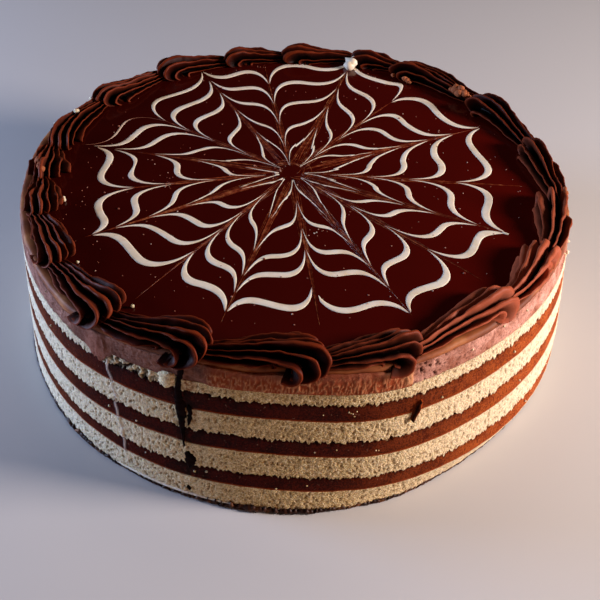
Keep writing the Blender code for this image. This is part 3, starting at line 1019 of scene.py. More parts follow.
MOUSSE_FLAKE = ((53.4, -65.9, 1.0), (52.4, -66.1, 2.6), (49.0, -66.7, 2.8), (46.0, -67.3, 2.4),
                (45.0, -67.5, 0.8))
PALE_SMEAR = ((1.7, -124.0, 0.3), (2.0, -120.0, 0.9), (2.1, -113.0, 1.1), (2.1, -107.0, 0.9),
              (2.0, -100.0, 0.3))
STRIP_STEP = 0.35
LEAST_STRIP_STEPS = 6
# Across a strip: how far from its middle, and how high, as shares of its width and its lift
STRIP_SECTION = ((-0.5, 0.0), (-0.32, 0.75), (0.0, 1.0), (0.32, 0.75), (0.5, 0.0),
                 (0.5, -0.9), (-0.5, -0.9))

# The marks that the materials read, where a piece has the same all over
WHOLE_CRUMB = {"pore": 0.0, "stain": 0.0, "torn": 0.0, "thread": 0.0}
SMEARED_MOUSSE = {"pore": 0.0, "fold": 0.25, "lined": 1.0}
FULL_CREAM = {"thin": 0.0}
# Across the flake: its inner edge is curled up and painted in its own shade, and a painted
# highlight lies along the rest
CURLED_FLAKE = {"pore": (0.0, 0.95, 0.6, 0.0, 0.0, 0.0, 0.0),
                "edge": (0.6, 0.0, 0.0, 0.9, 0.9, 0.5, 0.5), "thread": 0.0}


def side_strip(path, lift, roughness, seed):
    """Rings of points across a raised strip that follows a path on the side."""
    path = np.array(path)
    stretch = np.hypot(np.diff(path[:, 0]), np.diff(path[:, 1]) * math.radians(RADIUS / MM))
    gone = np.concatenate([[0.0], np.cumsum(stretch)])
    steps = np.linspace(0.0, gone[-1], max(LEAST_STRIP_STEPS, int(gone[-1] / STRIP_STEP)))
    height, angle, width = (np.interp(steps, gone, path[:, column]) for column in range(3))
    upright = abs(path[-1, 0] - path[0, 0]) > 1.0
    rings = []
    for across, rise in STRIP_SECTION:
        trail = np.stack([steps, np.full(len(steps), across * 9.0),
                          np.full(len(steps), seed * 5.0)], axis=-1)
        aside = across * width * (1.0 + roughness * lumps(trail, 1.6, 2, seed))
        raised = rise * lift * (1.0 + 0.4 * lumps(trail, 2.2, 2, seed + 1.0))
        level = (height if upright else height + aside) * MM
        turn = angle + (np.degrees(aside * MM / RADIUS) if upright else 0.0)
        rings.append(on_cake(turn, side_radius(turn, level) + raised * MM, level))
    return np.stack(rings, axis=1)


def make_strips(name, strips, material, marks):
    """One piece of raised strips, each with its path, its lift in mm and its roughness."""
    points = []
    faces = []
    for number, (path, lift, roughness) in enumerate(strips):
        gather_tube(points, faces, side_strip(path, lift, roughness, float(number)))
    piece = make_piece(name, np.array(points), faces, material, marks)
    face_outwards(piece)


LOOSE_CRUMBS = 34
# The sponges' edges, where they stick: lowest and highest, in mm
CRUMB_LEVELS = ((13.0, 18.5), (31.0, 37.5), (49.5, 56.0), (63.5, 70.0))
CRUMB_SIZES = (0.45, 0.95)
# A crumb on the rim sits at least this far below the glaze's top, in mm
CRUMB_BELOW_TOP = 0.4
# Crumbs that stand out in the outline or on a round: direction, height and size in mm
PLACED_CRUMBS = (
    (-17.0, 64.0, 1.7), (-15.0, 66.5, 1.2), (7.0, 72.6, 1.9), (8.5, 72.8, 1.2),
    (147.0, 73.0, 1.9), (160.0, 73.0, 1.3), (-79.0, 53.5, 0.6), (-78.3, 52.6, 0.5),
    (-77.6, 53.8, 0.5), (-78.6, 53.0, 0.4), (-78.0, 51.4, 0.5), (-83.4, 52.2, 0.4),
    (-81.0, 34.6, 0.5), (-74.0, 33.2, 0.6), (-73.5, 33.0, 0.5), (-40.0, 33.0, 0.9),
    (-43.0, 52.0, 1.0), (-36.0, 15.0, 0.9),
)
# Bits on and between the shells: direction, how far in from the rim, height and size in mm
RIM_BITS = ((62.0, 13.2, 74.6, 2.0), (58.3, 13.4, 74.7, 3.0), (57.2, 13.9, 74.4, 2.6),
            (56.4, 14.4, 74.2, 1.6), (44.4, 9.6, 76.4, 2.6), (43.2, 9.2, 77.2, 4.4),
            (42.0, 8.4, 78.4, 3.4), (41.7, 9.9, 76.6, 4.2), (40.5, 8.9, 77.0, 3.6),
            (39.7, 8.3, 76.6, 2.4), (39.1, 7.6, 76.2, 1.6), (-178.4, 8.2, 79.0, 3.2),
            (179.9, 7.0, 79.2, 3.0), (-177.0, 9.4, 79.4, 2.6), (178.6, 6.2, 78.6, 2.4),
            (-7.4, 2.6, 79.0, 2.4), (-6.6, 3.0, 80.0, 1.8))
PALE_BITS = ((157.2, 9.0, 78.6, 2.4), (-168.9, 18.4, 73.9, 1.6), (-168.0, 18.7, 73.8, 1.4),
             (-143.8, 15.2, 73.6, 1.2), (-124.0, 15.0, 73.7, 1.4))
TIP_BLOB = ((75.3, 10.8, 73.8, 5.2), (75.1, 8.6, 74.8, 6.4))
BIT_LEVELS = (-0.95, -0.55, 0.0, 0.55, 0.95)
BIT_COLUMNS = 9


def gather_bit(points, faces, middle, size, number):
    """Adds a small closed lump of a size in mm to a growing list of points and faces."""
    turns = np.linspace(0.0, math.tau, BIT_COLUMNS, endpoint=False)
    rings = []
    for level in BIT_LEVELS:
        reach = 0.55 * size * MM * math.sqrt(1.0 - level * level)
        ring = np.stack([reach * np.cos(turns), reach * np.sin(turns),
                         np.full(BIT_COLUMNS, 0.5 * size * level * MM)], axis=-1)
        uneven = 1.0 + 0.45 * lumps(ring + number * 3.0 * MM, 0.5 * size * MM, 2, 30.0)
        rings.append(middle + ring * uneven[:, None])
    gather_tube(points, faces, np.stack(rings))


def make_crumbs():
    """Loose sponge crumbs that stick to the mousse and the rim."""
    draw = random.Random(19)
    places = list(PLACED_CRUMBS)
    for _ in range(LOOSE_CRUMBS):
        low, high = draw.choice(CRUMB_LEVELS)
        places.append((draw.uniform(-180.0, 180.0), draw.uniform(low, high),
                       draw.uniform(*CRUMB_SIZES)))
    points = []
    faces = []
    for number, (angle, height, size) in enumerate(places):
        level = min(height, GLAZE_TOP / MM - CRUMB_BELOW_TOP) * MM
        middle = on_cake(angle, side_radius(angle, level) + 0.2 * size * MM, level)
        gather_bit(points, faces, middle, size, number)
    piece = make_piece("loose_crumbs", np.array(points), faces, SPONGE, WHOLE_CRUMB)
    face_outwards(piece)


def make_bits(name, places, material, marks):
    """Bits of what was smeared or dropped on the rim while the shells were piped."""
    points = []
    faces = []
    for number, (angle, inset, height, size) in enumerate(places):
        middle = on_cake(angle, side_radius(angle, GLAZE_TOP) - inset * MM, height * MM)
        gather_bit(points, faces, middle, size, number)
    piece = make_piece(name, np.array(points), faces, material, marks)
    face_outwards(piece)


make_strips("glaze_drip", ((DRIP, 0.9, 0.35), (DRIP_BRANCH, 0.5, 0.5), (DRIP_BLOTCH, 0.5, 0.5),
                           (DRIP_SPOT, 0.5, 0.4)), DRIPPED, {})
make_strips("crumb_lump", ((CRUMB_LUMP, 1.3, 0.6),), SPONGE, WHOLE_CRUMB)
make_strips("mousse_flake", ((MOUSSE_FLAKE, 1.6, 0.2),), DARK_MOUSSE,
            CURLED_FLAKE)
make_strips("pale_smear", ((PALE_SMEAR, 0.5, 0.4),), CREAM, FULL_CREAM)
make_crumbs()
make_bits("mousse_bits", RIM_BITS, MILK_MOUSSE, SMEARED_MOUSSE)
make_bits("crumb_bits", PALE_BITS, SPONGE, WHOLE_CRUMB)
make_bits("tip_blob", TIP_BLOB, CREAM, FULL_CREAM)


# The piped shells

# How far in from the rim a shell's head and tail lie, and how wide and high they are
HEAD_INSET = 7.7 * MM
TAIL_INSET = 4.8 * MM
HEAD_HALF_WIDTH = 9.0 * MM
TAIL_HALF_WIDTH = 4.6 * MM
HEAD_HEIGHT = 9.0 * MM
TAIL_HEIGHT = 4.0 * MM
HEAD_REACH = 8.6 * MM
FALL_POWER = 1.15
# A shell that spans less of the rim is a little smaller
USUAL_SPAN = 19.0
SMALLEST = 0.90
SECTION_POWER = 2.5
# Fins are deepest in the head, a little more so round the front, and shallow in the tail
FIN_DEPTH = 6.4 * MM
TAIL_FIN_SHARE = 0.42
HEAD_DEEPER = 0.30
# Across one fin: how far from its middle, and how deep, as shares of its pitch and depth
FIN_PROFILE = ((-1.00, 1.00), (-0.60, 1.00), (-0.42, 0.86), (-0.30, 0.55), (-0.22, 0.20),
               (-0.13, 0.03), (0.0, 0.0), (0.13, 0.03), (0.22, 0.20), (0.30, 0.55),
               (0.42, 0.86), (0.60, 1.00))
# How deep the section's two ends lie, and how far up from them the fins begin
END_DEPTH = 0.7
SIDE_GAP = math.radians(4.0)
# In the head a fin's crest broadens: the power that its profile is drawn out with
BROAD_CREST = 0.52
THIN_CREST = 1.0
# The lowest fin is tucked under, and no fin comes lower than this
LOWEST_TUCK = 0.42
LOWEST_RISE = 0.6 * MM
SHELL_OVERLAP = 3.5 * MM
SHELL_SEAT = -0.3 * MM
# The path of a fin: it curls round the head by these turns, and then runs along to the tail
HEAD_CURLS = np.radians(np.linspace(-120.0, 90.0, 30))
RUN_STEPS = 34
STAGGER_POWER = 1.1
# What chance makes different: the size of each fin's crest, the twist of the section in
# radians, and how far the shell sways to both sides, in mm
CREST_SIZES = (0.86, 1.06)
TWISTS = (-0.45, 0.45)
SWAYS = (0.4, 1.0)
# Waves along the run, in radians from head to tail: the crests' own and the sway's
CREST_WAVES = 9.0
SWAY_WAVES = 6.5
# The paste wavers: size of the waves, and how far they go along, sideways and up
WAVER = 5.0 * MM
WAVER_ALONG = 0.55 * MM
WAVER_SIDEWAYS = 0.50 * MM
WAVER_UP = 0.50 * MM
WAVER_UP_SIZE = 4.5 * MM
# Past the rim a shell droops by this share of what stands out
DROOP = 0.65
DROOP_START = 0.2 * MM

# What each shell has: the direction in which it starts, how many fins, how far they lean to the
# inside in degrees, how far they are set back behind its nose on its outer and its inner side,
# how far its ribs swing to the outside as they curl down round the nose, how wide its inner
# side is as a share of its outer side, how much painted light has turned it paler, how
# far its head leans out past the rim, where it droops, and how much further in it was piped.
# Lengths are in mm. They go clockwise from the back
Shell = namedtuple("Shell", ("start", "fins", "lean", "outer_setback", "inner_setback", "swing",
                             "inner_width", "bloom", "overhang", "further_in"))
SHELLS = (
    Shell(  76.0, 6,  0,  6, 11, -0.8, 0.42, 0.00, 0.4, 0.0),
    Shell(  64.0, 7,  0,  6, 10, -1.5, 0.85, 0.00, 0.2, 0.0),
    Shell(  39.0, 5,  4,  7,  6,  0.0, 1.00, 0.00, 0.8, 0.0),
    Shell(  17.0, 5, 12,  8,  4,  0.0, 1.00, 0.20, 0.4, 0.0),
    Shell(  -5.0, 5, 14,  8,  4,  0.0, 1.00, 0.50, 1.0, 0.0),
    Shell( -23.5, 6, 16,  8,  4,  1.0, 1.00, 1.00, 2.2, 0.0),
    Shell( -41.5, 6, 14,  9,  4,  3.0, 1.00, 0.80, 1.2, 0.0),
    Shell( -64.5, 7, -4, 12,  5,  4.0, 1.00, 0.15, 0.6, 0.0),
    Shell( -82.0, 7, -6, 13,  5,  5.0, 1.00, 0.00, 2.8, 0.0),
    Shell(-103.5, 7, -6, 13,  5,  5.0, 1.00, 0.00, 2.2, 0.0),
    Shell(-124.0, 7, -6, 12,  5,  5.0, 1.06, 0.10, 3.4, 2.6),
    Shell(-143.5, 7, -4, 12,  5,  4.0, 1.06, 0.20, 0.6, 3.3),
    Shell(-161.5, 7,  0, 11,  6,  3.0, 1.16, 0.20, 0.0, 3.4),
    Shell(-175.0, 7,  0,  9,  8,  1.0, 1.20, 0.20, 0.0, 3.0),
    Shell(-188.0, 7,  0,  8,  9,  0.0, 0.95, 0.10, 0.0, 3.8),
    Shell(-210.0, 7,  0,  7, 11, -2.0, 0.80, 0.10, 0.4, 2.3),
    Shell(-230.0, 6,  0,  6, 12, -2.5, 0.55, 0.00, 1.0, 0.3),
    Shell(-248.5, 6,  0,  6, 12, -1.2, 0.40, 0.00, 0.3, 0.0),
    Shell(-265.0, 6,  0,  6, 11, -0.5, 0.38, 0.00, 0.5, 0.0),
)


def fin_columns(fins):
    """The columns across a shell's section: each one's fin, how far it is from the fin's
    middle, and how deep it lies. The first and the last are the section's two ends."""
    profile = np.array(FIN_PROFILE)
    fin = np.concatenate([[0], np.repeat(np.arange(fins), len(profile)), [fins - 1]])
    off = np.concatenate([[-1.0], np.tile(profile[:, 0], fins), [1.0]])
    depth = np.concatenate([[END_DEPTH], np.tile(profile[:, 1], fins), [END_DEPTH]])
    return fin, off, depth


def fin_turns(shell, fin, off, depth, fall):
    """Where each column lies round the section, from 0 on the outer side to half a turn on
    the inner side. In the head the topmost crest is broad. Where the fins lean to the inside,
    all of them are, by as much as the shell is painted lit."""
    top_fin = np.exp(-((fin + 0.5 - shell.fins / 2.0) / 0.9) ** 2)
    breadth = top_fin if shell.lean <= 0.0 else np.full(fin.shape, shell.bloom)
    broad = between(THIN_CREST, BROAD_CREST, breadth)[None, :]
    power = between(broad, 1.0, eased(0.0, 0.7, fall))
    drawn = np.sign(off)[None, :] * np.abs(off)[None, :] ** power
    pitch = (math.pi - 2.0 * SIDE_GAP) / shell.fins
    turn = SIDE_GAP + pitch * (fin[None, :] + 0.5 + drawn / 2.0)
    turn = turn + math.radians(shell.lean) * (1.0 - depth)[None, :]
    turn[:, 0] = 0.0
    turn[:, -1] = math.pi
    return turn


def make_shell(number, shell, span):
    """A piped shell. Its section is a fan of thin fins. In the head each fin curls forward
    from under, round the front and back over the top, and then runs along to the tail."""
    seed = float(number)
    draw = random.Random(number)
    crest_scale = np.array([draw.uniform(*CREST_SIZES) for _ in range(shell.fins)])
    crest_swing = np.array([draw.uniform(0.0, math.tau) for _ in range(shell.fins)])
    twist = draw.uniform(*TWISTS)
    sway = draw.uniform(*SWAYS) * MM
    sway_start = draw.uniform(0.0, math.tau)
    size = between(SMALLEST, 1.0, min(1.15, span / USUAL_SPAN))
    head_line = float(side_radius(shell.start, GLAZE_TOP)) - HEAD_INSET
    length = math.radians(span) * head_line + SHELL_OVERLAP

    # Rows go along the path of a fin, first round the head's curl and then along the run
    runs = np.concatenate([np.zeros(len(HEAD_CURLS)), np.linspace(0.0, 1.0, RUN_STEPS + 1)[1:]])
    runs = runs[:, None]
    curls = np.concatenate([HEAD_CURLS, np.full(RUN_STEPS, math.pi / 2.0)])[:, None]
    fall = runs ** FALL_POWER
    in_head = (1.0 - np.sin(curls)) / 2.0

    # Columns go across the section, over one fin after another
    fin, off, depth = fin_columns(shell.fins)
    turn = fin_turns(shell, fin, off, depth, fall)
    section = turn + twist * (runs - 0.3) * np.sin(turn)
    inner = between(1.0, shell.inner_width, eased(0.0, 0.6, -np.cos(section)))
    half_width = between(HEAD_HALF_WIDTH, TAIL_HALF_WIDTH, fall) * size * inner
    height = between(HEAD_HEIGHT, TAIL_HEIGHT, fall) * size
    outline = ((np.abs(np.cos(section)) / half_width) ** SECTION_POWER
               + (np.sin(section) / height) ** SECTION_POWER) ** (-1.0 / SECTION_POWER)
    groove = FIN_DEPTH * between(1.0, TAIL_FIN_SHARE, fall) * size * depth[None, :]
    groove = groove * (1.0 + HEAD_DEEPER * np.sin(np.pi * in_head)) * inner ** 0.7
    wave = 0.97 + 0.05 * np.sin(crest_swing[fin][None, :] + runs * CREST_WAVES)
    tucked = LOWEST_TUCK * (fin == 0)[None, :] * (1.0 - eased(0.0, 0.35, runs))
    reached = outline * wave * crest_scale[fin][None, :] * (1.0 - tucked) - groove

    # The section is bent round the head: along the shell, sideways and up
    swing_out = shell.swing * MM * size * in_head * np.sin(section)
    sideways = reached * np.cos(section) + swing_out
    bend = np.maximum(reached * np.sin(section), LOWEST_RISE) / 2.0
    rise = bend * (1.0 + np.sin(curls))
    forward = bend / (HEAD_HEIGHT / 2.0) * HEAD_REACH * np.cos(curls)
    stagger = np.where(np.cos(section) > 0.0, shell.outer_setback, shell.inner_setback) * MM
    stagger = stagger * (1.0 - np.sin(section)) ** STAGGER_POWER * size
    along = between(HEAD_REACH * size, length, runs) - forward + stagger * (1.0 - runs)

    local = np.stack([along, sideways, rise], axis=-1) + seed * 31.0 * MM
    low = np.clip(rise / (2.0 * MM), 0.0, 1.0)
    along = along + WAVER_ALONG * lumps(local, WAVER, 2, seed)
    sideways = sideways + WAVER_SIDEWAYS * lumps(local, WAVER, 2, seed + 0.4)
    sideways = sideways + sway * np.sin(sway_start + along / length * SWAY_WAVES)
    rise = rise + low * WAVER_UP * lumps(local, WAVER_UP_SIZE, 2, seed + 0.8)

    # Onto the rim, where a head that leans out droops over it
    angle = shell.start - np.degrees(along / head_line)
    gone = np.clip(along / length, 0.0, 1.0)
    inset = between(HEAD_INSET, TAIL_INSET, gone) + shell.further_in * MM
    lean_out = shell.overhang * MM * (1.0 - eased(0.0, 0.75, gone))
    sideways = sideways + lean_out * eased(-0.2, 0.9, sideways / HEAD_HALF_WIDTH)
    past_rim = np.maximum(0.0, sideways - inset - DROOP_START)
    points = on_cake(angle, side_radius(angle, GLAZE_TOP) - inset + sideways,
                     np.full(angle.shape, GLAZE_TOP))
    points[..., 2] += rise + SHELL_SEAT - DROOP * past_rim

    rows, columns = angle.shape
    faces = [face[::-1] for face in band_faces(rows, columns)]
    faces.append(tuple(range(columns)))
    faces.append(tuple(reversed(range((rows - 1) * columns, rows * columns))))
    # 1 on the crests and 0 in the grooves, for the painted highlight and shade; the crests are
    # drawn wider where the shell is painted lit
    crest = (1.0 - depth) ** between(3.0, 0.7, shell.bloom)
    piece = make_piece("piped_shell_%02d" % number, points.reshape(-1, 3), faces, GANACHE,
                       {"crest": np.clip(crest, 0.0, 1.0), "bloom": shell.bloom})
    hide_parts("shell_%02d" % number)


for number, (shell, following) in enumerate(zip(SHELLS, SHELLS[1:] + SHELLS[:1]), start=1):
    make_shell(number, shell, (shell.start - following.start) % WHOLE_TURN)


# The feathered web: a white chocolate spiral of five turns, dragged outward and inward by
# turns with a point, as shares of the web's own size about its own middle

WEB_MIDDLE = (-3.75 * MM, 5.03 * MM)
WEB_SIZE = 118.8 * MM
# The drags: their directions, how far each pulled the lines, and how widely
OUTWARD = (169.2, 118.6, 74.2, 24.8, -24.2, -62.6, -103.5, -149.2)
INWARD = (-168.2, 146.4, 99.7, 52.9, -3.6, -42.8, -82.5, -123.4)
OUTWARD_PULLS = (0.127, 0.132, 0.158, 0.126, 0.126, 0.122, 0.122, 0.109)
INWARD_PULLS = (0.179, 0.174, 0.183, 0.186, 0.162, 0.183, 0.151, 0.180)
OUTWARD_WIDTH = 0.0807
INWARD_WIDTH = 0.0690
# Between the drags the glaze flowed back the other way
RETURN_FLOW = 0.0907
WEB_INNERMOST = 0.055
# Right beside a drag each turn is drawn out into a thin tail
TAIL_PULLS = (0.035, 0.075, 0.090, 0.120, 0.150)
TAIL_WIDTH = 0.011
# Halfway between the drags: the directions, and the radius of each turn there
MID_ANGLES = (133.9, 109.2, 87.2, 62.6, 38.8, 12.5, -11.5, -31.3, -51.1, -71.8, -92.8,
              -113.0, -135.1, -156.4, -176.5, -199.5)
TURN_RADII = (
    (0.738, 0.777, 0.809, 0.781, 0.734, 0.724, 0.721, 0.749,
     0.782, 0.771, 0.729, 0.699, 0.711, 0.724, 0.703, 0.666),
    (0.632, 0.651, 0.669, 0.642, 0.571, 0.554, 0.595, 0.616,
     0.616, 0.597, 0.584, 0.586, 0.578, 0.605, 0.597, 0.564),
    (0.521, 0.518, 0.502, 0.490, 0.456, 0.424, 0.447, 0.443,
     0.466, 0.485, 0.488, 0.487, 0.460, 0.463, 0.437, 0.389),
    (0.356, 0.349, 0.331, 0.325, 0.313, 0.294, 0.323, 0.327,
     0.328, 0.341, 0.337, 0.347, 0.331, 0.305, 0.263, 0.228),
    (0.188, 0.196, 0.183, 0.190, 0.200, 0.177, 0.168, 0.170,
     0.184, 0.166, 0.178, 0.157, 0.148, 0.128, 0.119, 0.102),
)
TURN_WIDTHS = (0.030, 0.027, 0.024, 0.021, 0.016)
WIDTH_WAVER = 0.16
LINE_WAVER = 0.006
SPOKE_CLEARANCE = 0.35 * MM
# Each piece narrows and fades towards its ends
NARROW_END = 1.1 * MM
FADED_END = 1.3 * MM
# Pieces that differ, each by its turn and the spoke it starts from: the spiral's thin faded
# start, the one whose tail was cut off short, and the one that starts broad and blunt
FADED_PIECE = (0, 169.2)
BLOB_PIECE = (0, -62.6)
BLOB_CUT = 1.9 * MM
BLUNT_PIECE = (0, -24.2)
# The two that ran thin: all the way, and in its middle
SLIM_PIECE = (0, 146.4)
PINCHED_PIECE = (1, -168.2)
# Where the outermost turn was pushed out beside a drag: direction, width and how far
CORNER_PLACE = (55.2, 3.4)
CORNER_PUSH = 0.055
# Where two tails ran together in a blob: direction, from and to as shares, and breadth
TIP_BLOBS = ((74.2, 0.840, 0.900, 0.034), (-24.4, 0.806, 0.828, 0.010))
BLOB_STEPS = 14
BLOB_HEIGHT = 0.40 * MM
WEB_STEPS = 64
RIBBON_HEIGHT = 0.16 * MM
RIBBON_ROOT = 0.40 * MM
# Across a ribbon from edge to edge: where, and how high as a share of its crown
RIBBON_SECTION = ((0.0, 0.0), (0.2, 0.72), (0.5, 1.0), (0.8, 0.72), (1.0, 0.0))


def drag_at(angle, radius, tail_pull):
    """How far the point's drags have moved the line out or in, at an angle and a radius.
    Right beside a drag the line is drawn out further, into a thin tail."""
    moved = 0.0
    for spokes, pulls, width, way in ((OUTWARD, OUTWARD_PULLS, OUTWARD_WIDTH, 1.0),
                                      (INWARD, INWARD_PULLS, INWARD_WIDTH, -1.0)):
        for spoke, pull in zip(spokes, pulls):
            turn = np.radians(turn_between(angle, spoke))
            beside = np.abs(radius * np.sin(turn))
            drawn = pull * np.exp(-beside / width) + tail_pull * np.exp(-beside / TAIL_WIDTH)
            moved = moved + np.where(np.cos(turn) > 0.0, way * drawn, 0.0)
    return moved


def web_point(angle, radius, lift):
    """Points on the glaze in the web's own directions and shares, lifted a little off it."""
    turn = np.radians(angle)
    x = WEB_MIDDLE[0] + WEB_SIZE * radius * np.cos(turn)
    y = WEB_MIDDLE[1] + WEB_SIZE * radius * np.sin(turn)
    return np.stack([x, y, GLAZE_TOP * (1.0 + WEDGE * x / RADIUS) + lift], axis=-1)


def ribbon_rings(inner, outer, crown):
    """Rings across a poured ribbon: a crowned top between its edges, rooted in the glaze."""
    rings = []
    for across, rise in RIBBON_SECTION:
        middle = inner + (outer - inner) * across
        middle[..., 2] += crown * rise
        rings.append(middle)
    for edge in (outer, inner):
        low = edge.copy()
        low[..., 2] -= RIBBON_ROOT
        rings.append(low)
    return np.stack(rings, axis=1)


def turn_radius(row, angle):
    """Radius of the undragged spiral on a turn, at an angle."""
    places = np.array(MID_ANGLES)
    values = np.array(TURN_RADII[row])
    before = TURN_RADII[row - 1][-1] if row > 0 else values[0]
    after = TURN_RADII[row + 1][0] if row + 1 < len(TURN_RADII) else values[-1]
    places = np.concatenate([[places[-1] + WHOLE_TURN], places, [places[0] - WHOLE_TURN]])
    values = np.concatenate([[before], values, [after]])
    return np.interp(-angle, -places, values)


def odd_width(place, sweep, shown):
    """How much narrower or wider than usual a piece of the web is, along its length."""
    if place == FADED_PIECE:
        return between(0.03, 0.36, shown)
    if place == SLIM_PIECE:
        return 0.70
    if place == PINCHED_PIECE:
        return 1.0 - 0.62 * np.exp(-((sweep - 0.60) / 0.22) ** 2)
    if place == BLUNT_PIECE:
        return 1.0 + 0.5 * np.exp(-((sweep - 0.10) / 0.10) ** 2)
    return 1.0


def web_piece(row, first, second, way):
    """The ribbon of one turn from one spoke to the next, with how thin it lies along it."""
    sweep = (1.0 - np.cos(np.linspace(0.0, math.pi, WEB_STEPS))) / 2.0
    middle = float(turn_radius(row, (first + second) / 2.0))
    span = math.radians(abs(second - first)) * middle * WEB_SIZE
    margin = min(0.2, SPOKE_CLEARANCE / span)
    cut = BLOB_CUT / span if (row, first) == BLOB_PIECE else margin
    sweep = between(margin, 1.0 - cut, sweep)
    angle = between(first, second, sweep)
    radius = turn_radius(row, angle) - RETURN_FLOW * middle * np.cos(np.pi * sweep) * way
    wander = np.stack([angle, radius * 40.0, np.full(WEB_STEPS, row * 9.0)], axis=-1)
    radius = radius + LINE_WAVER * lumps(wander, 9.0, 1, 20.0)
    if row == 0:
        radius = radius + CORNER_PUSH * near_angle(angle, *CORNER_PLACE)
    beside = np.minimum(sweep, 1.0 - sweep) * span
    ends = eased(0.0, NARROW_END, beside)
    shown = eased(0.12, 0.34, sweep) * (1.0 - eased(0.62, 0.80, sweep))
    width = TURN_WIDTHS[row] * (1.0 + WIDTH_WAVER * lumps(wander, 12.0, 1, 21.0))
    width = width * between(0.30, 1.0, ends) * odd_width((row, first), sweep, shown)
    edges = []
    for side in (-0.5, 0.5):
        edge = radius + width * side
        edge = edge + drag_at(angle, edge, TAIL_PULLS[row])
        edge = np.maximum(edge, WEB_INNERMOST + width * side)
        edges.append(web_point(angle, edge, -0.02 * MM))
    rings = ribbon_rings(*edges, RIBBON_HEIGHT * between(0.3, 1.0, ends))
    fade = (1.0 - eased(0.0, FADED_END, beside)) * 0.75
    if (row, first) == FADED_PIECE:
        fade = 1.0 - 0.6 * shown
    return rings, fade


def make_web():
    """The web's ribbons between the spokes, turn by turn, and the two blobs."""
    points = []
    faces = []
    thin = []
    spokes = sorted([(angle, 1.0) for angle in OUTWARD] + [(angle, -1.0) for angle in INWARD],
                    reverse=True)
    spokes.append((spokes[0][0] - WHOLE_TURN, spokes[0][1]))
    for row in range(len(TURN_RADII)):
        for (first, way), (second, _) in zip(spokes, spokes[1:]):
            rings, fade = web_piece(row, first, second, way)
            gather_tube(points, faces, rings)
            thin.extend(np.repeat(fade, rings.shape[1]).tolist())
    for direction, low, high, breadth in TIP_BLOBS:
        radius = np.linspace(low, high, BLOB_STEPS)
        bow = np.sin(np.linspace(0.35, math.pi - 0.35, BLOB_STEPS)) ** 0.7
        turn = np.degrees(breadth / 2.0 * bow / radius)
        rings = ribbon_rings(web_point(direction - turn, radius, 0.0),
                             web_point(direction + turn, radius, 0.0), BLOB_HEIGHT)
        gather_tube(points, faces, rings)
        thin.extend([0.0] * (BLOB_STEPS * rings.shape[1]))
    piece = make_piece("feathered_web", np.array(points), faces, CREAM, {"thin": thin})
    face_outwards(piece)


STREAKS_A_SPOKE = 15
STREAK_STEPS = 40
STREAK_WIDTH = (0.10 * MM, 0.26 * MM)
STREAK_SWAY = 0.25 * MM
STREAK_HEIGHT = 0.06 * MM
MIDDLE_STREAK = 0.60 * MM
BUNDLE_HALF_WIDTH = 2.8 * MM
# Where each spoke's bundle comes to its point, as a share of the web's size
OUTWARD_TIPS = (0.71, 0.80, 0.90, 0.82, 0.83, 0.86, 0.84, 0.81)
INWARD_TIPS = (0.66, 0.66, 0.84, 0.66, 0.88, 0.86, 0.84, 0.86)
# Streaks and swirl lie just on the glaze
STREAK_LIFT = 0.01 * MM


def make_streaks():
    """Hairlines of dragged chocolate along every spoke, in a bundle that draws to a point."""
    draw = random.Random(41)
    points = []
    faces = []
    spokes = list(zip(OUTWARD, OUTWARD_TIPS)) + list(zip(INWARD, INWARD_TIPS))
    for spoke, tip in spokes:
        for number in range(STREAKS_A_SPOKE):
            start = draw.uniform(0.03, 0.16)
            end = tip if number == 0 else draw.uniform(0.40, 0.97) * tip
            offset = draw.uniform(-1.0, 1.0) * BUNDLE_HALF_WIDTH if number else 0.0
            width = draw.uniform(*STREAK_WIDTH) if number else MIDDLE_STREAK
            swing = draw.uniform(0.0, math.tau)
            share = np.linspace(0.0, 1.0, STREAK_STEPS)
            radius = between(start, end, share)
            aside = offset * (1.0 - radius / tip) ** 0.8
            aside = aside + STREAK_SWAY * np.sin(swing + radius * 30.0) * (1.0 - share)
            arm = np.maximum(radius, 0.05) * WEB_SIZE
            beside = np.degrees(aside / arm)
            half = np.degrees(width / 2.0 / arm)
            half = half * np.minimum(1.0, share * 8.0 + 0.1) * (1.02 - share) ** 0.6
            inner = web_point(spoke + beside - half, radius, STREAK_LIFT)
            outer = web_point(spoke + beside + half, radius, STREAK_LIFT)
            gather_tube(points, faces, ribbon_rings(inner, outer, STREAK_HEIGHT))
    piece = make_piece("dragged_streaks", np.array(points), faces, STREAK, {})


SWIRL_STREAKS = 16
SWIRL_STEPS = 20
SWIRL_HALF_WIDTH = 0.0013
SWIRL_HEIGHT = 0.05 * MM


def make_swirl():
    """Where the point was lifted: short curved streaks round the middle of the web."""
    draw = random.Random(52)
    points = []
    faces = []
    for _ in range(SWIRL_STREAKS):
        first = draw.uniform(-100.0, 100.0)
        angle = first + np.linspace(0.0, draw.uniform(50.0, 110.0), SWIRL_STEPS)
        radius = draw.uniform(0.018, 0.075) + np.linspace(0.0, 0.022, SWIRL_STEPS)
        half = SWIRL_HALF_WIDTH * np.sin(np.linspace(0.15, math.pi - 0.15, SWIRL_STEPS))
        inner = web_point(angle, radius - half, STREAK_LIFT)
        outer = web_point(angle, radius + half, STREAK_LIFT)
        gather_tube(points, faces, ribbon_rings(inner, outer, SWIRL_HEIGHT))
    piece = make_piece("centre_swirl", np.array(points), faces, STREAK, {})
    face_outwards(piece)


BUBBLES = 260
BUBBLE_COLUMNS = 8
BUBBLE_LEVELS = (-0.5, 0.0, 0.55, 0.85)
BUBBLE_SIZES = (0.14, 0.34)
# A few of them are larger
LARGER_SHARE = 0.08
LARGER = 1.6
# Bubbles are scattered as far out as this, as a share of the web's size
BUBBLE_REACH = 0.86
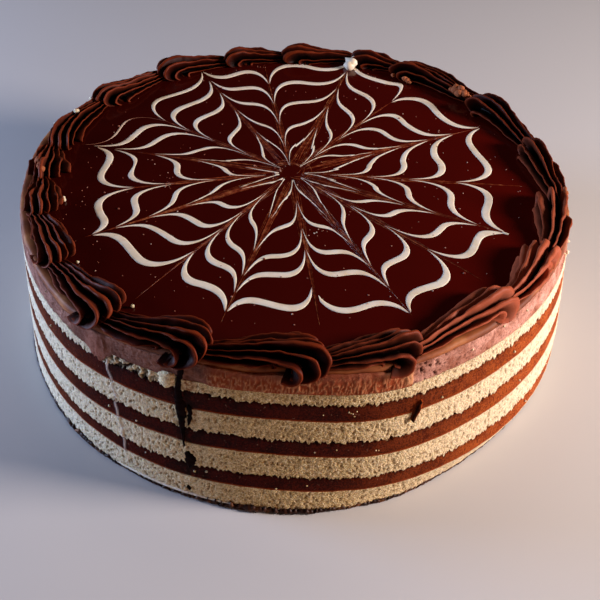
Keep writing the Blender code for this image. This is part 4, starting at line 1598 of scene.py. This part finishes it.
# Tight groups of specks: direction, share of the web's size, spread in mm, and how many
SPECK_GROUPS = ((-76.0, 0.37, 3.2, 15), (160.0, 0.055, 2.6, 18), (101.0, 0.82, 1.6, 6),
                (-172.0, 0.45, 5.0, 16), (24.0, 0.60, 5.0, 10))


def make_bubbles():
    """Tiny burst bubbles and crumbs scattered over the glaze."""
    draw = random.Random(77)
    places = []
    for _ in range(BUBBLES):
        radius = math.sqrt(draw.random()) * BUBBLE_REACH
        places.append((draw.uniform(-180.0, 180.0), radius))
    for direction, share, spread, count in SPECK_GROUPS:
        for _ in range(count):
            aside = draw.gauss(0.0, spread * MM / (share * WEB_SIZE))
            places.append((direction + math.degrees(aside),
                           share + draw.gauss(0.0, spread * MM / WEB_SIZE * 0.6)))
    points = []
    faces = []
    turns = np.linspace(0.0, math.tau, BUBBLE_COLUMNS, endpoint=False)
    for angle, radius in places:
        size = draw.uniform(*BUBBLE_SIZES) * MM
        size = size * (LARGER if draw.random() < LARGER_SHARE else 1.0)
        centre = web_point(angle, radius, 0.0)
        rings = []
        for level in BUBBLE_LEVELS:
            reach = size * math.sqrt(1.0 - level * level)
            rings.append(centre + np.stack([reach * np.cos(turns), reach * np.sin(turns),
                                            np.full(BUBBLE_COLUMNS, level * size)], axis=-1))
        gather_tube(points, faces, np.stack(rings)[:, ::-1])
    piece = make_piece("glaze_bubbles", np.array(points), faces, BUBBLE, {})


make_web()
make_streaks()
make_swirl()
make_bubbles()


# The floor, the lights and the camera

FLOOR_HALF = 6.0


def make_floor():
    """A wide, plain, pale floor under the cake."""
    mesh = bpy.data.meshes.new("studio_floor")
    corners = [(-FLOOR_HALF, -FLOOR_HALF, 0.0), (FLOOR_HALF, -FLOOR_HALF, 0.0),
               (FLOOR_HALF, FLOOR_HALF, 0.0), (-FLOOR_HALF, FLOOR_HALF, 0.0)]
    mesh.from_pydata(corners, [], [(0, 1, 2, 3)])
    material, tree, shader, place = new_material("pale_matte_floor", Roughness=0.8)
    patch = add_node(tree, NOISE, None, {"Vector": place, "Scale": 2.5, "Detail": 2.0})
    tone = add_node(tree, RAMP, {"stops": ((0.3, "#C9C7C5"), (0.7, "#CFCDCB"))},
                    {"Fac": patch.outputs["Fac"]})
    tree.links.new(tone.outputs["Color"], shader.inputs["Base Color"])
    mesh.materials.append(material)
    floor = bpy.data.objects.new("studio_floor", mesh)
    bpy.context.scene.collection.objects.link(floor)


# Soft round lights: name, place, height that it looks at, size across, power and colour
LIGHTS = (
    ("warm_window", (0.82, -0.14, 0.38), 0.04, 0.24, 11.5, "#FFF0EC"),
    ("cool_window", (-0.84, 0.06, 0.20), 0.04, 0.36, 9.0, "#BCD2FF"),
    ("back_panel", (-0.10, 0.50, 1.10), 0.05, 0.40, 0.8, "#FFE0C8"),
    ("front_fill", (0.68, -0.70, 0.15), 0.03, 0.40, 1.3, "#FFAE66"),
)


def add_light(name, place, aim, size, power, colour):
    """A round area light at a place, turned to a height over the middle of the cake."""
    light = bpy.data.lights.new(name, "AREA")
    light.shape = "DISK"
    light.size = size
    light.energy = power
    light.color = linear(colour)[:3]
    holder = bpy.data.objects.new(name, light)
    bpy.context.scene.collection.objects.link(holder)
    holder.location = place
    towards = Vector((0.0, 0.0, aim)) - Vector(place)
    holder.rotation_euler = towards.to_track_quat("-Z", "Y").to_euler()


def set_world(colour, strength):
    """A faint even light from all round."""
    world = bpy.data.worlds.new("studio_air")
    bpy.context.scene.world = world
    world.use_nodes = True
    back = world.node_tree.nodes["Background"]
    back.inputs["Color"].default_value = linear(colour)
    back.inputs["Strength"].default_value = strength


# The camera that the cake's round edges give: place, and tilt, pan and roll in radians
CAMERA_PLACE = Vector((-0.0034, -0.34301, 0.31202))
CAMERA_TILT = 0.7257
CAMERA_PAN = 0.00474
CAMERA_ROLL = 0.04826
CAMERA_LENS = 57.0
CAMERA_SHIFT = (0.01615, -0.01605)


def add_camera():
    """The camera at the photograph's viewing angle."""
    cos_tilt, sin_tilt = math.cos(CAMERA_TILT), math.sin(CAMERA_TILT)
    forward = Vector((math.sin(CAMERA_PAN) * cos_tilt, math.cos(CAMERA_PAN) * cos_tilt, -sin_tilt))
    level = Vector((math.cos(CAMERA_PAN), -math.sin(CAMERA_PAN), 0.0))
    upright = level.cross(forward)
    right = level * math.cos(CAMERA_ROLL) + upright * math.sin(CAMERA_ROLL)
    above = upright * math.cos(CAMERA_ROLL) - level * math.sin(CAMERA_ROLL)
    lens = bpy.data.cameras.new("studio_camera")
    lens.lens = CAMERA_LENS
    lens.shift_x, lens.shift_y = CAMERA_SHIFT
    camera = bpy.data.objects.new("studio_camera", lens)
    bpy.context.scene.collection.objects.link(camera)
    axes = Matrix((right, above, -forward)).transposed()
    camera.matrix_world = Matrix.Translation(CAMERA_PLACE) @ axes.to_4x4()
    bpy.context.scene.camera = camera


make_floor()
for light in LIGHTS:
    add_light(*light)
set_world("#8E939A", 0.018)
bpy.context.scene.view_settings.view_transform = "Standard"
add_camera()
